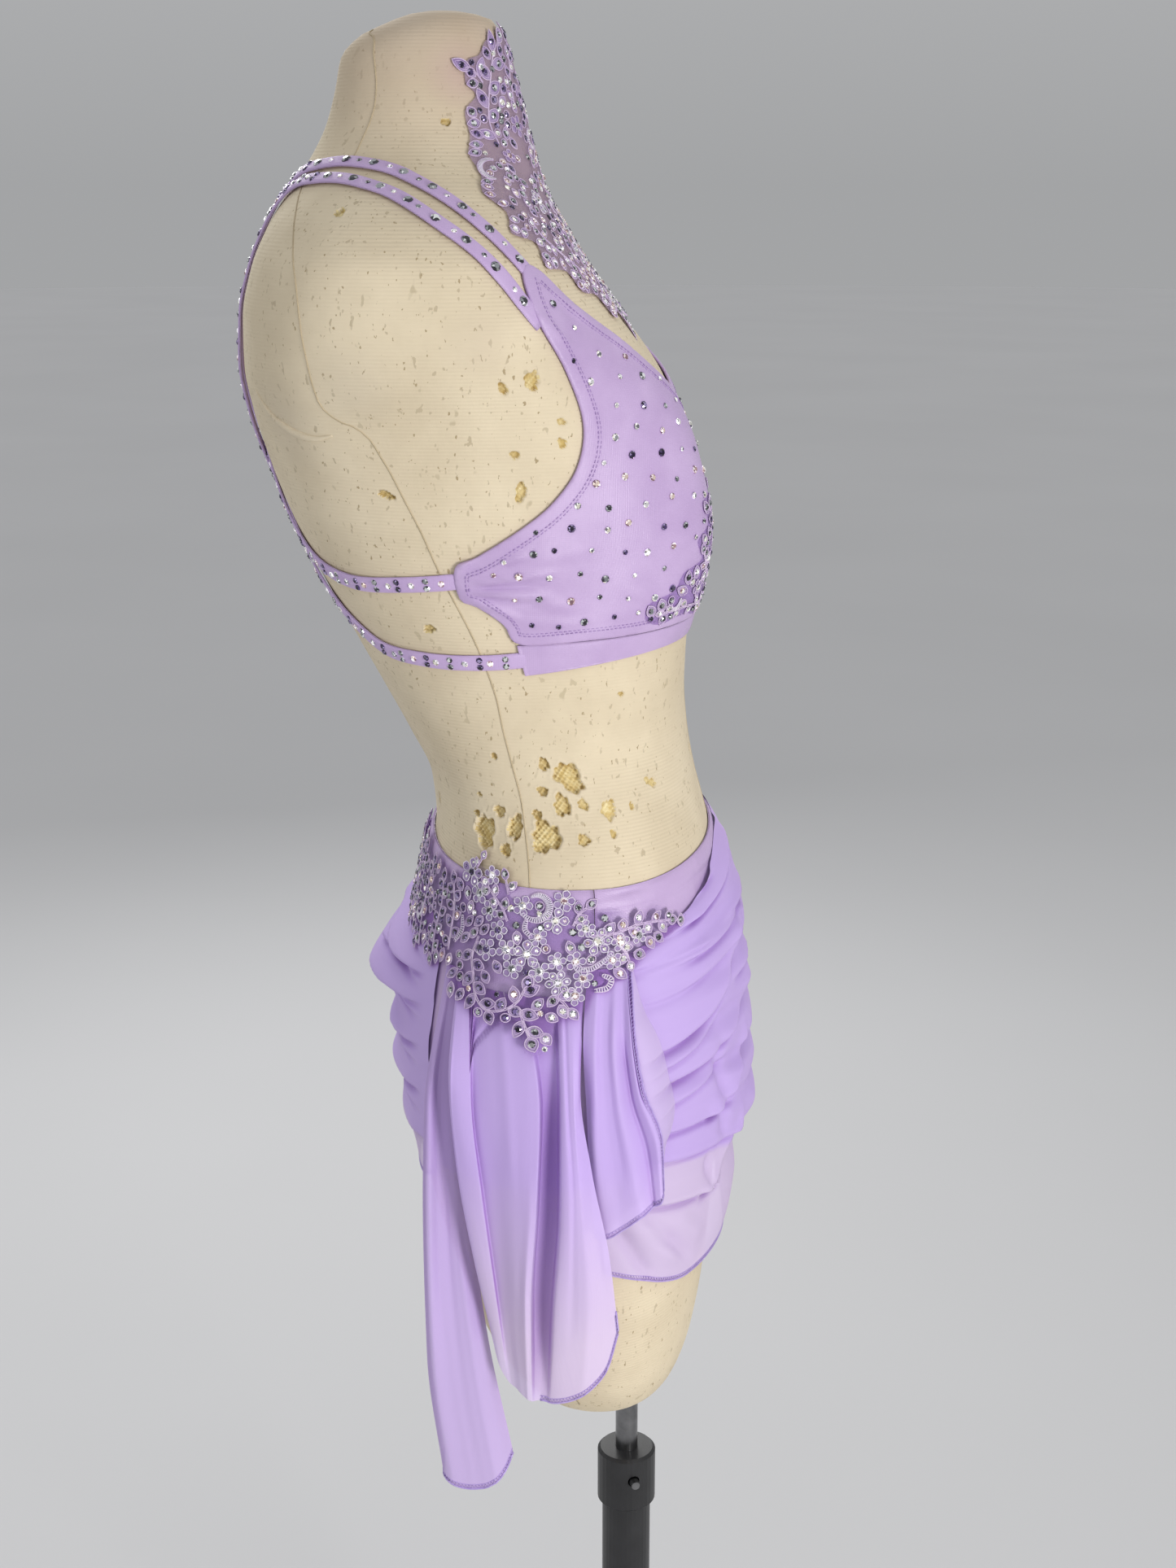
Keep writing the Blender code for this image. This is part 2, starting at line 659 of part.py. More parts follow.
TAIL_MIDDLE = (
    (115.6, 5.2, 113.2, 160, 109.5, 163, 100.4, 165, 89.0, 166, 0.936, 0.716),
    (115.0, 5.4, 111.5, 168, 107.5, 170, 98.5, 172, 87.0, 172, 0.936, 0.706),
    (113.6, 5.4, 106.3, 171, 99.9, 175, 90.5, 177, 83.5, 177, 0.936, 0.694),
    (112.0, 5.0, 99.3, 172, 93.4, 177, 86.1, 178, 79.0, 179, 0.936, 0.686),
    (110.6, 4.0, 97.8, 169, 91.4, 174, 84.0, 176, 76.4, 179, 0.936, 0.682),
    (107.4, 4.0, 86.0, 175, 81.4, 180, 77.3, 182, 72.0, 183, 0.936, 0.678),
    (103.6, 4.6, 73.7, 181, 71.9, 186, 71.1, 188, 68.6, 187, 0.936, 0.676),
    (100.6, 4.8, 62.2, 185, 63.6, 190, 66.4, 192, 66.4, 190, 0.936, 0.674),
    (99.2, 4.6, 57.4, 186, 59.8, 191, 63.6, 193, 64.6, 190, 0.936, 0.673),
    (98.0, 3.4, 55.2, 177, 57.6, 177, 61.6, 177, 62.8, 180, 0.936, 0.672),
    (95.6, 3.2, 50.8, 176, 51.8, 176, 55.6, 175, 58.8, 178, 0.936, 0.671),
    (93.0, 3.4, 46.6, 177, 46.8, 177, 51.0, 177, 54.6, 181, 0.936, 0.670),
    (92.0, 4.8, 44.4, 186, 44.6, 191, 48.6, 193, 52.6, 190, 0.936, 0.670),
    (91.0, 5.6, 41.1, 188, 38.6, 194, 40.5, 196, 43.3, 194, 0.936, 0.674),
    (89.2, 5.8, 36.6, 188, 32.4, 193, 29.0, 197, 31.7, 195, 0.936, 0.681),
    (87.6, 5.4, 34.0, 185, 27.4, 189, 18.6, 193, 17.4, 192, 0.936, 0.698),
    (86.6, 4.4, 32.6, 180, 25.6, 185, 15.2, 188, 9.3, 188, 0.936, 0.724),
)
TAIL_SHORT = (
    (86.0, 3.0, 31.0, 174, 29.0, 176, 27.0, 177, 24.0, 177, 0.940, 0.783),
    (84.0, 3.8, 25.0, 177, 24.0, 180, 22.0, 180, 16.0, 180, 0.940, 0.784),
    (82.0, 3.6, 19.0, 175, 17.0, 178, 12.0, 178, 6.0, 178, 0.940, 0.789),
    (80.0, 4.6, 13.0, 177, 10.0, 180, 3.0, 180, -4.0, 179, 0.940, 0.797),
    (78.6, 5.0, 7.0, 174, 3.0, 175, -7.0, 175, -12.0, 174, 0.940, 0.802),
    (77.6, 6.4, 2.0, 177, -3.0, 178, -14.0, 178, -17.0, 176, 0.940, 0.806),
    (76.8, 6.2, 0.0, 174, -5.5, 175, -17.0, 174, -18.5, 172, 0.940, 0.811),
)

# Lace: the edge of each piece in turns and heights
NECK_LACE = (
    (0.0, 1.497),
    (12.0, 1.4935),
    (24.0, 1.4945),
    (32.0, 1.487),
    (44.0, 1.486),
    (50.0, 1.478),
    (60.0, 1.474),
    (62.0, 1.462),
    (56.0, 1.455),
    (64.0, 1.446),
    (63.0, 1.432),
    (66.0, 1.421),
    (64.0, 1.410),
    (67.0, 1.400),
    (62.0, 1.389),
    (64.0, 1.378),
    (57.0, 1.372),
    (58.0, 1.360),
    (50.0, 1.356),
    (48.0, 1.345),
    (41.0, 1.342),
    (39.0, 1.330),
    (31.0, 1.332),
    (27.0, 1.322),
    (18.0, 1.323),
    (12.0, 1.312),
    (0.0, 1.309),
)
BRA_LACE = (
    (0.0, 1.250),
    (11.0, 1.252),
    (19.0, 1.247),
    (27.0, 1.240),
    (31.0, 1.226),
    (38.0, 1.221),
    (35.0, 1.209),
    (41.0, 1.199),
    (38.0, 1.188),
    (45.0, 1.181),
    (47.0, 1.171),
    (54.0, 1.166),
    (55.0, 1.156),
    (50.0, 1.151),
    (42.0, 1.1555),
    (34.0, 1.1525),
    (24.0, 1.1575),
    (14.0, 1.1545),
    (0.0, 1.1575),
)
HIP_LACE = (
    (205.0, 0.984),
    (197.0, 0.996),
    (184.0, 0.988),
    (176.0, 0.999),
    (163.0, 0.993),
    (155.0, 1.003),
    (144.0, 0.990),
    (135.0, 0.998),
    (126.0, 0.990),
    (117.0, 1.004),
    (108.0, 0.998),
    (103.0, 0.988),
    (95.0, 0.992),
    (88.0, 0.984),
    (79.0, 0.984),
    (75.0, 0.975),
    (70.0, 0.983),
    (66.0, 0.976),
    (60.5, 0.972),
    (65.0, 0.965),
    (73.0, 0.957),
    (78.0, 0.945),
    (84.0, 0.942),
    (87.0, 0.926),
    (91.5, 0.923),
    (93.0, 0.906),
    (97.0, 0.904),
    (99.0, 0.921),
    (106.0, 0.916),
    (110.0, 0.926),
    (116.0, 0.926),
    (120.0, 0.942),
    (128.0, 0.934),
    (134.0, 0.943),
    (142.0, 0.934),
    (150.0, 0.946),
    (158.0, 0.936),
    (167.0, 0.948),
    (176.0, 0.940),
    (186.0, 0.952),
    (196.0, 0.950),
    (203.0, 0.962),
    (210.0, 0.972),
)

# Hip lace: how far it stands off the body above the gathers and over them, in millimetres
LIFT_COLUMNS = ("turn", "above", "over")
LIFT_ROWS = (
    (58.0, 6.9, 7.2),
    (78.0, 6.6, 7.2),
    (86.0, 3.2, 7.2),
    (97.0, 3.2, 6.2),
    (116.0, 3.2, 5.8),
    (126.0, 5.6, 5.8),
    (212.0, 5.6, 5.8),
)
GATHERS_TOP = 0.950
GATHERS_BLEND = 0.024
GATHERS_FOOT = 0.942
GATHERS_SLOPE = 0.24
TAILS_START, TAILS_END, TAILS_BLEND = 80.0, 126.0, 4.0


def mirrored(edge):
    """A closed outline from its right half, which starts and ends at the centre."""
    return list(edge) + [(-turn, height) for turn, height in reversed(edge[1:-1])]


def leaf_holes(outline, gaps):
    """Leaf-shaped gaps, in rows that lean one way and then the other, kept inside an outline."""
    length, pitch = gaps
    flat = np.array([TURN_SCALE, 1.0])
    loop = np.array(outline, float) * flat
    low, high = loop.min(axis=0), loop.max(axis=0)
    around = np.arange(GAP_SIDES) / GAP_SIDES * math.tau
    leaf = np.column_stack([np.cos(around) * length * 0.62, np.sin(around) * length * 0.42])
    holes = []
    for j, y in enumerate(np.arange(low[1] + pitch * 0.45, high[1], pitch)):
        for k, x in enumerate(np.arange(low[0] + pitch * (0.35 + 0.5 * (j % 2)), high[0], pitch * 1.12)):
            lean = math.radians(50 + 80 * ((j + k) % 2) + 17 * math.sin(3 * j + 5 * k))
            c, s = math.cos(lean), math.sin(lean)
            hole = leaf @ np.array([[c, s], [-s, c]]) + np.array([x, y])
            if inside(hole, loop).all() and loop_gap(hole, loop).min() > GAP_EDGE:
                holes.append(hole / flat)
    return holes


def drape(name, lines, turns, reach, columns, look, group):
    """Folded cloth wrapped round the hips, with a row of points along each of its lines.

    reach is how many degrees further back its lowest lines start, behind the hanging tails."""
    order = ("hip", "groin", "front", "side")
    sign = 1 if turns["hip"] < turns["side"] else -1
    knots = sign * np.array([turns[k] for k in order])
    across = sign * columns
    share = np.clip((knots[1] - across) / (knots[1] - knots[0]), 0, 1)
    inner = []
    for row in lines:
        row = dict(zip(DRAPE_COLUMNS, row))
        height = track(across, knots, np.array([row[k] for k in order]))
        near = row["hip_out"] + HIP_HOLD * (row["front_out"] - row["hip_out"])
        outs = np.array([row["hip_out"], near, row["front_out"], row["side_out"]])
        out = track(across, knots, outs) * MM
        low = np.clip((REACH_START - row["hip"]) / (REACH_START - REACH_END), 0, 1)
        inner.append(off_form(sign * (across - share * low * reach), height, out))
    inner = np.array(inner)
    normal = grid_normals(inner)
    axis = np.stack([inner[..., 0], inner[..., 1] - BODY_MIDDLE, np.zeros(inner.shape[:2])], -1)
    normal *= np.sign((normal * axis).sum(-1).mean())
    return wall(name, inner, inner + normal * CHIFFON, look, group)


def cascade(name, rows, across, levels, look, group):
    """A gathered tail that hangs from the hip in folds."""
    values = np.array(rows, float)
    knots = np.arange(len(rows), dtype=float)
    at = np.linspace(0, len(rows) - 1, across)
    named = {key: track(at, knots, values[:, k]) for k, key in enumerate(TAIL_COLUMNS)}
    stations = np.linspace(0, 1, 5)
    down = np.linspace(0, 1, levels)
    inner = np.zeros((levels, across, 3))
    start = off_form(named["turn"], named["top"], named["lift"] * MM)
    for i in range(across):
        back = np.array([start[i, 1]] + [named["back%d" % k][i] * MM for k in (1, 2, 3, 4)])
        out = np.array([-start[i, 0]] + [named["out%d" % k][i] * MM for k in (1, 2, 3, 4)])
        inner[:, i, 0] = -track(down, stations, out)
        inner[:, i, 1] = track(down, stations, back)
        inner[:, i, 2] = named["top"][i] + (named["hem"][i] - named["top"][i]) * down
    normal = grid_normals(inner)
    normal *= -np.sign(normal[..., 0].mean())
    return wall(name, inner, inner + normal * CHIFFON, look, group)


def skirt_panel(name, start, end, look, group):
    """One half of the fitted skirt, from seam to seam."""
    turn = body_columns(start, end)
    knots = column(SKIRT_ROWS, SKIRT_COLUMNS, "turn")
    top = track(turn, knots, column(SKIRT_ROWS, SKIRT_COLUMNS, "top"))
    hem = track(turn, knots, column(SKIRT_ROWS, SKIRT_COLUMNS, "hem"))
    levels = np.linspace(0, 1, SKIRT_LEVELS)[:, None]
    height = top + (hem - top) * levels
    turns = np.broadcast_to(turn, height.shape)
    inner = off_form(turns, height, np.full(height.shape, BODY_GAP))
    outer = off_form(turns, height, np.full(height.shape, BODY_GAP + SPANDEX))
    return wall(name, inner, outer, look, group)


def dress_form(look, group, tools):
    turns = form_turns()
    heights = sorted([row[0] for row in FORM_ROWS] + list(FORM_EXTRA))
    rows = [form_xyz(turns, np.full(turns.shape, height)) for height in heights]
    count = len(turns)
    points = np.concatenate(rows)
    foot, top = len(points), len(points) + 1
    low, high = rows[0].mean(axis=0), rows[-1].mean(axis=0)
    points = np.concatenate([points, [(low[0], low[1], FORM_FOOT)], [(high[0], high[1], FORM_TOP)]])
    faces = []
    for j in range(len(rows) - 1):
        for i in range(count):
            k = (i + 1) % count
            faces.append((j * count + i, j * count + k, (j + 1) * count + k, (j + 1) * count + i))
    last = (len(rows) - 1) * count
    for i in range(count):
        k = (i + 1) % count
        faces.append((foot, k, i))
        faces.append((top, last + i, last + k))
    made = solid("dress_form", points, faces, look, group)
    length = SOCKET_DEPTH + SOCKET_BELOW
    low = FORM_FOOT + SOCKET_DEPTH - length / 2
    cut(made, cutter("socket_cutter", POLE_RADIUS + SLIDE_GAP, length, (0, 0, low), (0, 0, 1), tools))
    return made


def base_plate(group):
    """A round plate with a low hub that holds the tube."""
    rows = (
        (0.0, BASE_THICK),
        (TUBE_RADIUS + SEAT_GAP, BASE_THICK),
        (TUBE_RADIUS + SEAT_GAP, HUB_HEIGHT),
        (HUB_RADIUS - BEVEL, HUB_HEIGHT),
        (HUB_RADIUS, HUB_HEIGHT - BEVEL),
        (HUB_RADIUS + BEVEL, BASE_THICK + FINE_BEVEL),
        (HUB_RADIUS + BEVEL + HUB_FOOT, BASE_THICK),
        (BASE_RADIUS - BEVEL, BASE_THICK),
        (BASE_RADIUS, BASE_THICK - BEVEL),
        (BASE_RADIUS, BEVEL / 2),
        (BASE_RADIUS - BEVEL / 2, 0.0),
        (0.0, 0.0),
    )
    turned("base_plate", rows, BASE_ROUND, BLACK, group, False)


def outer_tube(group):
    rows = (
        (TUBE_RADIUS, TUBE_TOP),
        (TUBE_RADIUS, BASE_THICK + SEAT_GAP),
        (TUBE_BORE, BASE_THICK + SEAT_GAP),
        (TUBE_BORE, TUBE_TOP),
    )
    turned("outer_tube", rows, ROUND, BLACK, group, True)


def collar(group, tools):
    """The clamp at the top of the tube, with its screw."""
    neck = POLE_RADIUS + SLIDE_GAP
    rows = (
        (neck, COLLAR_TOP),
        (COLLAR_RADIUS - 2 * FINE_BEVEL, COLLAR_TOP),
        (COLLAR_RADIUS, COLLAR_TOP - 2 * FINE_BEVEL),
        (COLLAR_RADIUS, COLLAR_LOW + FINE_BEVEL),
        (COLLAR_RADIUS - FINE_BEVEL, COLLAR_LOW),
        (TUBE_RADIUS + SEAT_GAP, COLLAR_LOW),
        (TUBE_RADIUS + SEAT_GAP, TUBE_TOP + SEAT_GAP),
        (neck, TUBE_TOP + SEAT_GAP),
    )
    ring = turned("collar", rows, ROUND, BLACK, group, True)
    aim = Vector(SCREW_AIM).normalized()
    centre = Vector((0, 0, COLLAR_TOP - SCREW_DROP))
    middle = aim * (POLE_RADIUS + SCREW_TIP - SEAT_GAP + COLLAR_RADIUS / 2) + centre
    cut(ring, cutter("screw_cutter", SCREW_RADIUS + SEAT_GAP, COLLAR_RADIUS, middle, aim, tools))
    length = COLLAR_RADIUS - POLE_RADIUS + FINE_BEVEL
    bm = bmesh.new()
    bmesh.ops.create_cone(
        bm,
        cap_ends=True,
        segments=SCREW_ROUND,
        radius1=SCREW_RADIUS,
        radius2=SCREW_RADIUS - FINE_BEVEL,
        depth=length,
    )
    turn = Vector((0, 0, 1)).rotation_difference(aim).to_matrix().to_4x4()
    bm.transform(Matrix.Translation(aim * (POLE_RADIUS + SCREW_TIP + length / 2) + centre) @ turn)
    mesh = bpy.data.meshes.new("collar_screw")
    bm.to_mesh(mesh)
    bm.free()
    screw = bpy.data.objects.new("collar_screw", mesh)
    screw.data.materials.append(material("collar_screw", STEEL))
    group.objects.link(screw)


def pole(group):
    """The sliding pole, with the plug that keeps it in the tube."""
    top = FORM_FOOT + SOCKET_DEPTH - SEAT_GAP
    plug = TUBE_BORE - SLIDE_GAP
    rows = (
        (0.0, top),
        (POLE_RADIUS - FINE_BEVEL, top),
        (POLE_RADIUS, top - FINE_BEVEL),
        (POLE_RADIUS, POLE_FOOT + PLUG_HEIGHT + 2 * FINE_BEVEL),
        (plug, POLE_FOOT + PLUG_HEIGHT),
        (plug, POLE_FOOT),
        (0.0, POLE_FOOT),
    )
    turned("pole", rows, ROUND, STEEL, group, False)


def top_band(group):
    """The band under the cups, across the front only."""
    turn = np.linspace(-BAND_TURN, BAND_TURN, BAND_STATIONS)
    knots = column(BAND_ROWS, BAND_COLUMNS, "turn")
    low = track(np.abs(turn), knots, column(BAND_ROWS, BAND_COLUMNS, "low"))
    high = track(np.abs(turn), knots, column(BAND_ROWS, BAND_COLUMNS, "high"))
    height = np.stack([high, low])
    turns = np.stack([turn, turn])
    inner = off_form(turns, height, np.full(height.shape, BODY_GAP))
    outer = off_form(turns, height, np.full(height.shape, BODY_GAP + SPANDEX))
    wall("bra_band", inner, outer, LILAC_SPANDEX, group)


def straps(group):
    for name, rows in (("outer", STRAP_OUTER), ("inner", STRAP_INNER)):
        right = [(turn, height, (lift + over) * MM) for turn, height, lift, over in rows]
        left = [(360.0 - turn, height, lift * MM) for turn, height, lift, over in rows]
        strap("strap_right_" + name, right, STRAP_STATIONS, LILAC_SPANDEX, group)
        strap("strap_left_" + name, left, STRAP_STATIONS, LILAC_SPANDEX, group)


def hip_lift(turn, height):
    """The hip lace lies on the fitted skirt above and on the gathered chiffon below."""
    knots = column(LIFT_ROWS, LIFT_COLUMNS, "turn")
    above = track(turn, knots, column(LIFT_ROWS, LIFT_COLUMNS, "above"))
    over = track(turn, knots, column(LIFT_ROWS, LIFT_COLUMNS, "over"))
    height = np.asarray(height)
    share = np.clip((GATHERS_TOP + GATHERS_BLEND - height) / GATHERS_BLEND, 0, 1)
    before = np.clip((TAILS_END - turn) / TAILS_BLEND, 0, 1)
    on_tails = np.clip((turn - TAILS_START) / TAILS_BLEND, 0, 1) * before
    swell = np.clip(GATHERS_FOOT - height, 0, 1) * GATHERS_SLOPE * on_tails
    return (above + (over - above) * share) * MM + swell


def main():
    for old in list(bpy.data.objects):
        bpy.data.objects.remove(old, do_unlink=True)
    group = collection("lyrical_dance_costume")
    tools = collection("cutters")

    base_plate(group)
    outer_tube(group)
    collar(group, tools)
    pole(group)
    dress_form(JERSEY, group, tools)

    cups = mirrored(BRA_EDGE)
    panel("bra_front", cups, [], CUP_SPACING, steady(CUP_GAP), steady(SPANDEX), LILAC_SPANDEX, group)
    top_band(group)
    straps(group)

    right, left = SIDE_SEAMS
    skirt_panel("skirt_front", left - 360.0 + SEAM_TURN, right - SEAM_TURN, LILAC_SPANDEX, group)
    skirt_panel("skirt_back", right + SEAM_TURN, left - SEAM_TURN, LILAC_SPANDEX, group)
    front = body_columns(FRONT_TURNS["hip"], FRONT_TURNS["side"])
    drape("drape_front", FRONT_DRAPE, FRONT_TURNS, FRONT_REACH, front, LILAC_CHIFFON, group)
    back = body_columns(BACK_TURNS["hip"], BACK_TURNS["side"])
    drape("drape_back", BACK_DRAPE, BACK_TURNS, 0.0, back, LILAC_CHIFFON, group)
    for name, rows, across, levels in (
        ("tail_long", TAIL_LONG, LONG_ACROSS, LONG_LEVELS),
        ("tail_middle", TAIL_MIDDLE, MIDDLE_ACROSS, MIDDLE_LEVELS),
        ("tail_short", TAIL_SHORT, SHORT_ACROSS, SHORT_LEVELS),
    ):
        cascade(name, rows, across, levels, LILAC_CHIFFON, group)

    on_cups = CUP_GAP + SPANDEX + LACE_GAP
    for name, edge, gaps, spacing, lift in (
        ("lace_neck", mirrored(NECK_LACE), NECK_GAPS, NECK_SPACING, steady(NECK_GAP)),
        ("lace_bra", mirrored(BRA_LACE), BUST_GAPS, CUP_SPACING, steady(on_cups)),
        ("lace_hip", list(HIP_LACE), HIP_GAPS, HIP_SPACING, hip_lift),
    ):
        panel(name, edge, leaf_holes(edge, gaps), spacing, lift, steady(LACE), LILAC_LACE, group)


main()
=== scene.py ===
"""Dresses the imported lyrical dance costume: materials, fine cloth, lace, stones, hems, light and camera.

A place on the body is a turn and a height, as in the part's source: the turn runs from centre front
(0 degrees) over the wearer's right side (90) to centre back (180) and the left side (270)."""

import math

import bpy
import numpy as np
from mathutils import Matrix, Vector
from mathutils.bvhtree import BVHTree
from mathutils.geometry import delaunay_2d_cdt


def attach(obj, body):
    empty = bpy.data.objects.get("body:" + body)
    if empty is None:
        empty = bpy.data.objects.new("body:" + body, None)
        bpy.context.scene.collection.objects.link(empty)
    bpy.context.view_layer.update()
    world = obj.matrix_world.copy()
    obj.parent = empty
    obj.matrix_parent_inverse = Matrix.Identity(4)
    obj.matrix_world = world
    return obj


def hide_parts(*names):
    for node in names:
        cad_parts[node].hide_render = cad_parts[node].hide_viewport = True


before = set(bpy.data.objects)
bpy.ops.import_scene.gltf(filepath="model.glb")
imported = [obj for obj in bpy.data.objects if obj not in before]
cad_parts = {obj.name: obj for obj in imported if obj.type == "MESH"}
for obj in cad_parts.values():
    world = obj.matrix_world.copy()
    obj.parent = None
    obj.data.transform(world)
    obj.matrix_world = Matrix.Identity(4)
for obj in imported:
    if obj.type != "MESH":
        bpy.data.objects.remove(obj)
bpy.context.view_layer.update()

MM = 0.001

# Gaps and walls of the cloth over the body
BODY_GAP, CUP_GAP, NECK_GAP, SPANDEX = 0.9 * MM, 1.2 * MM, 1.4 * MM, 1.2 * MM

# Dress form: one row for each level section
FORM_COLUMNS = ("height", "front", "back", "half_width", "squareness")
FORM_ROWS = (
    (0.606, -0.012, 0.046, 0.062, 2.1), (0.615, -0.026, 0.064, 0.102, 2.2),
    (0.632, -0.039, 0.084, 0.129, 2.3), (0.66, -0.047, 0.102, 0.148, 2.3), (0.7, -0.053, 0.118, 0.16, 2.3),
    (0.76, -0.058, 0.136, 0.166, 2.3), (0.82, -0.061, 0.147, 0.17, 2.3), (0.88, -0.062, 0.149, 0.169, 2.3),
    (0.93, -0.061, 0.143, 0.162, 2.3), (0.98, -0.056, 0.133, 0.148, 2.2), (1.01, -0.049, 0.128, 0.136, 2.2),
    (1.04, -0.041, 0.131, 0.124, 2.2), (1.07, -0.036, 0.145, 0.117, 2.2), (1.1, -0.034, 0.161, 0.117, 2.2),
    (1.13, -0.034, 0.177, 0.122, 2.2), (1.16, -0.033, 0.192, 0.129, 2.3), (1.2, -0.03, 0.211, 0.138, 2.3),
    (1.24, -0.023, 0.226, 0.146, 2.3), (1.275, -0.013, 0.235, 0.157, 2.4),
    (1.3, -0.004, 0.2385, 0.168, 2.4), (1.33, 0.012, 0.2375, 0.1745, 2.4), (1.358, 0.03, 0.231, 0.17, 2.4),
    (1.38, 0.043, 0.222, 0.152, 2.3), (1.396, 0.052, 0.213, 0.127, 2.2), (1.41, 0.058, 0.204, 0.099, 2.1),
    (1.424, 0.062, 0.195, 0.075, 2), (1.44, 0.066, 0.187, 0.061, 2), (1.46, 0.071, 0.181, 0.0555, 2),
    (1.478, 0.0755, 0.177, 0.0535, 2), (1.49, 0.079, 0.166, 0.049, 2), (1.5, 0.086, 0.144, 0.036, 2),
)
FORM_FOOT, FORM_TOP = 0.600, 1.505

# Bust: one row for each height of the swell over the level sections
BUST_COLUMNS = ("height", "rise", "apart")
BUST_ROWS = (
    (1.085, 0, 0.066), (1.13, 0.005, 0.07), (1.166, 0.018, 0.076), (1.2, 0.0265, 0.08),
    (1.225, 0.0285, 0.082), (1.255, 0.0265, 0.083), (1.285, 0.02, 0.083), (1.314, 0.011, 0.083),
    (1.345, 0.004, 0.083), (1.38, 0, 0.083),
)
BUST_SPREAD = 0.050

# Metres of a flat pattern for one degree of turn, and millimetres for creases
TURN_SCALE = 2.4 * MM
FLAT = np.array([TURN_SCALE, 1.0])
CREASE_SCALE = 2.7


def column(rows, names, name):
    """One named column of a table, as an array."""
    return np.array([row[names.index(name)] for row in rows], float)


def ease(share):
    """A share that is held between 0 and 1 and leaves both softly."""
    share = np.clip(share, 0, 1)
    return share * share * (3 - 2 * share)


def hermite(t, h, start, end, start_slope, end_slope):
    """A smooth curve at t, from 0 to 1, of a step h long."""
    return (
        (2 * t**3 - 3 * t**2 + 1) * start + (t**3 - 2 * t**2 + t) * h * start_slope
        + (3 * t**2 - 2 * t**3) * end + (t**3 - t**2) * h * end_slope
    )


def track(at, knots, values):
    """Smooth curve through the knots that never swings past them."""
    at = np.clip(np.asarray(at, float), knots[0], knots[-1])
    step = np.diff(knots)
    slope = np.diff(values) / step
    tangent = np.zeros(len(knots))
    tangent[0], tangent[-1] = slope[0], slope[-1]
    for i in range(1, len(knots) - 1):
        if slope[i - 1] * slope[i] > 0:
            wide, narrow = step[i - 1] + 2 * step[i], 2 * step[i - 1] + step[i]
            tangent[i] = (wide + narrow) / (wide / slope[i] + narrow / slope[i - 1])
    i = np.clip(np.searchsorted(knots, at, side="right") - 1, 0, len(knots) - 2)
    return hermite((at - knots[i]) / step[i], step[i], values[i], values[i + 1], tangent[i], tangent[i + 1])


def read(rows, names, at):
    """Smooth values of a table's other columns at places along its first one."""
    knots = column(rows, names, names[0])
    return [track(at, knots, column(rows, names, name)) for name in names[1:]]


LEVELS = np.linspace(FORM_ROWS[0][0], FORM_ROWS[-1][0], 3600)
BODY_AT = dict(zip(FORM_COLUMNS[1:], read(FORM_ROWS, FORM_COLUMNS, LEVELS)))
BODY_AT.update(zip(BUST_COLUMNS[1:], read(BUST_ROWS, BUST_COLUMNS, LEVELS)))


def level(height, name):
    """A column of the form's or the bust's table at any height."""
    return np.interp(height, LEVELS, BODY_AT[name])


def form_xyz(turn, height):
    """Points of the dress form at turns in degrees and heights in metres."""
    turn, height = np.broadcast_arrays(np.radians(turn), np.asarray(height, float))
    front, back, wide = (level(height, name) for name in ("front", "back", "half_width"))
    deep, power = (back - front) / 2, level(height, "squareness")
    s, c = np.sin(turn), np.cos(turn)
    reach = (np.abs(s / wide) ** power + np.abs(c / deep) ** power) ** (-1 / power)
    x = -reach * s
    y = (front + back) / 2 - reach * c
    apart, rise = level(height, "apart"), level(height, "rise")
    swell = sum(np.exp(-(((x - side * apart) / BUST_SPREAD) ** 2)) for side in (-1, 1))
    facing = np.clip(c * 1.6 + 0.2, 0, 1)
    return np.stack([x, y - rise * swell * facing, height], -1)


def form_normal(turn, height):
    """Outward unit normals of the dress form."""
    turn, height = np.asarray(turn), np.asarray(height)
    across = form_xyz(turn + 1.0, height) - form_xyz(turn - 1.0, height)
    up = form_xyz(turn, height + 2 * MM) - form_xyz(turn, height - 2 * MM)
    out = np.cross(up, across)
    return out / np.linalg.norm(out, axis=-1, keepdims=True)


def off_form(turn, height, out):
    """Points that stand off the dress form by a distance."""
    return form_xyz(turn, height) + form_normal(turn, height) * np.asarray(out)[..., None]


def grid_faces(rows, cols, first=0, wrap=False):
    """Quads of a grid of points, with its columns joined round if wrap."""
    j, i = np.meshgrid(np.arange(rows - 1), np.arange(cols if wrap else cols - 1), indexing="ij")
    k = (i + 1) % cols
    corners = [j * cols + i, j * cols + k, (j + 1) * cols + k, (j + 1) * cols + i]
    return (first + np.stack(corners, -1)).reshape(-1, 4)


def search_tree(grid, faces):
    """Search tree of a grid of points."""
    return BVHTree.FromPolygons([Vector(p) for p in grid.reshape(-1, 3)], faces.tolist())


def fine_form(turns=360, levels=440):
    """Search tree of the dress form's true surface."""
    turn = np.linspace(0, 360, turns, endpoint=False)
    height = np.linspace(FORM_ROWS[0][0], FORM_ROWS[-1][0], levels)
    return search_tree(form_xyz(turn, height[:, None]), grid_faces(levels, turns, wrap=True)[:, [1, 0, 3, 2]])


SURFACE = fine_form()


def seat(point, out):
    """The nearest place on the dress form to a point, raised off it, and the outward direction there."""
    spot, normal, _, _ = SURFACE.find_nearest(Vector(point))
    return np.array(spot + normal * out), np.array(normal)


def inside(points, loop):
    """Which flat points lie inside a closed loop."""
    x, y = points[:, 0], points[:, 1]
    hit = np.zeros(len(points), bool)
    for (xa, ya), (xb, yb) in zip(loop, np.roll(loop, -1, axis=0)):
        if ya != yb:
            hit ^= ((ya > y) != (yb > y)) & (x < (xb - xa) * (y - ya) / (yb - ya) + xa)
    return hit


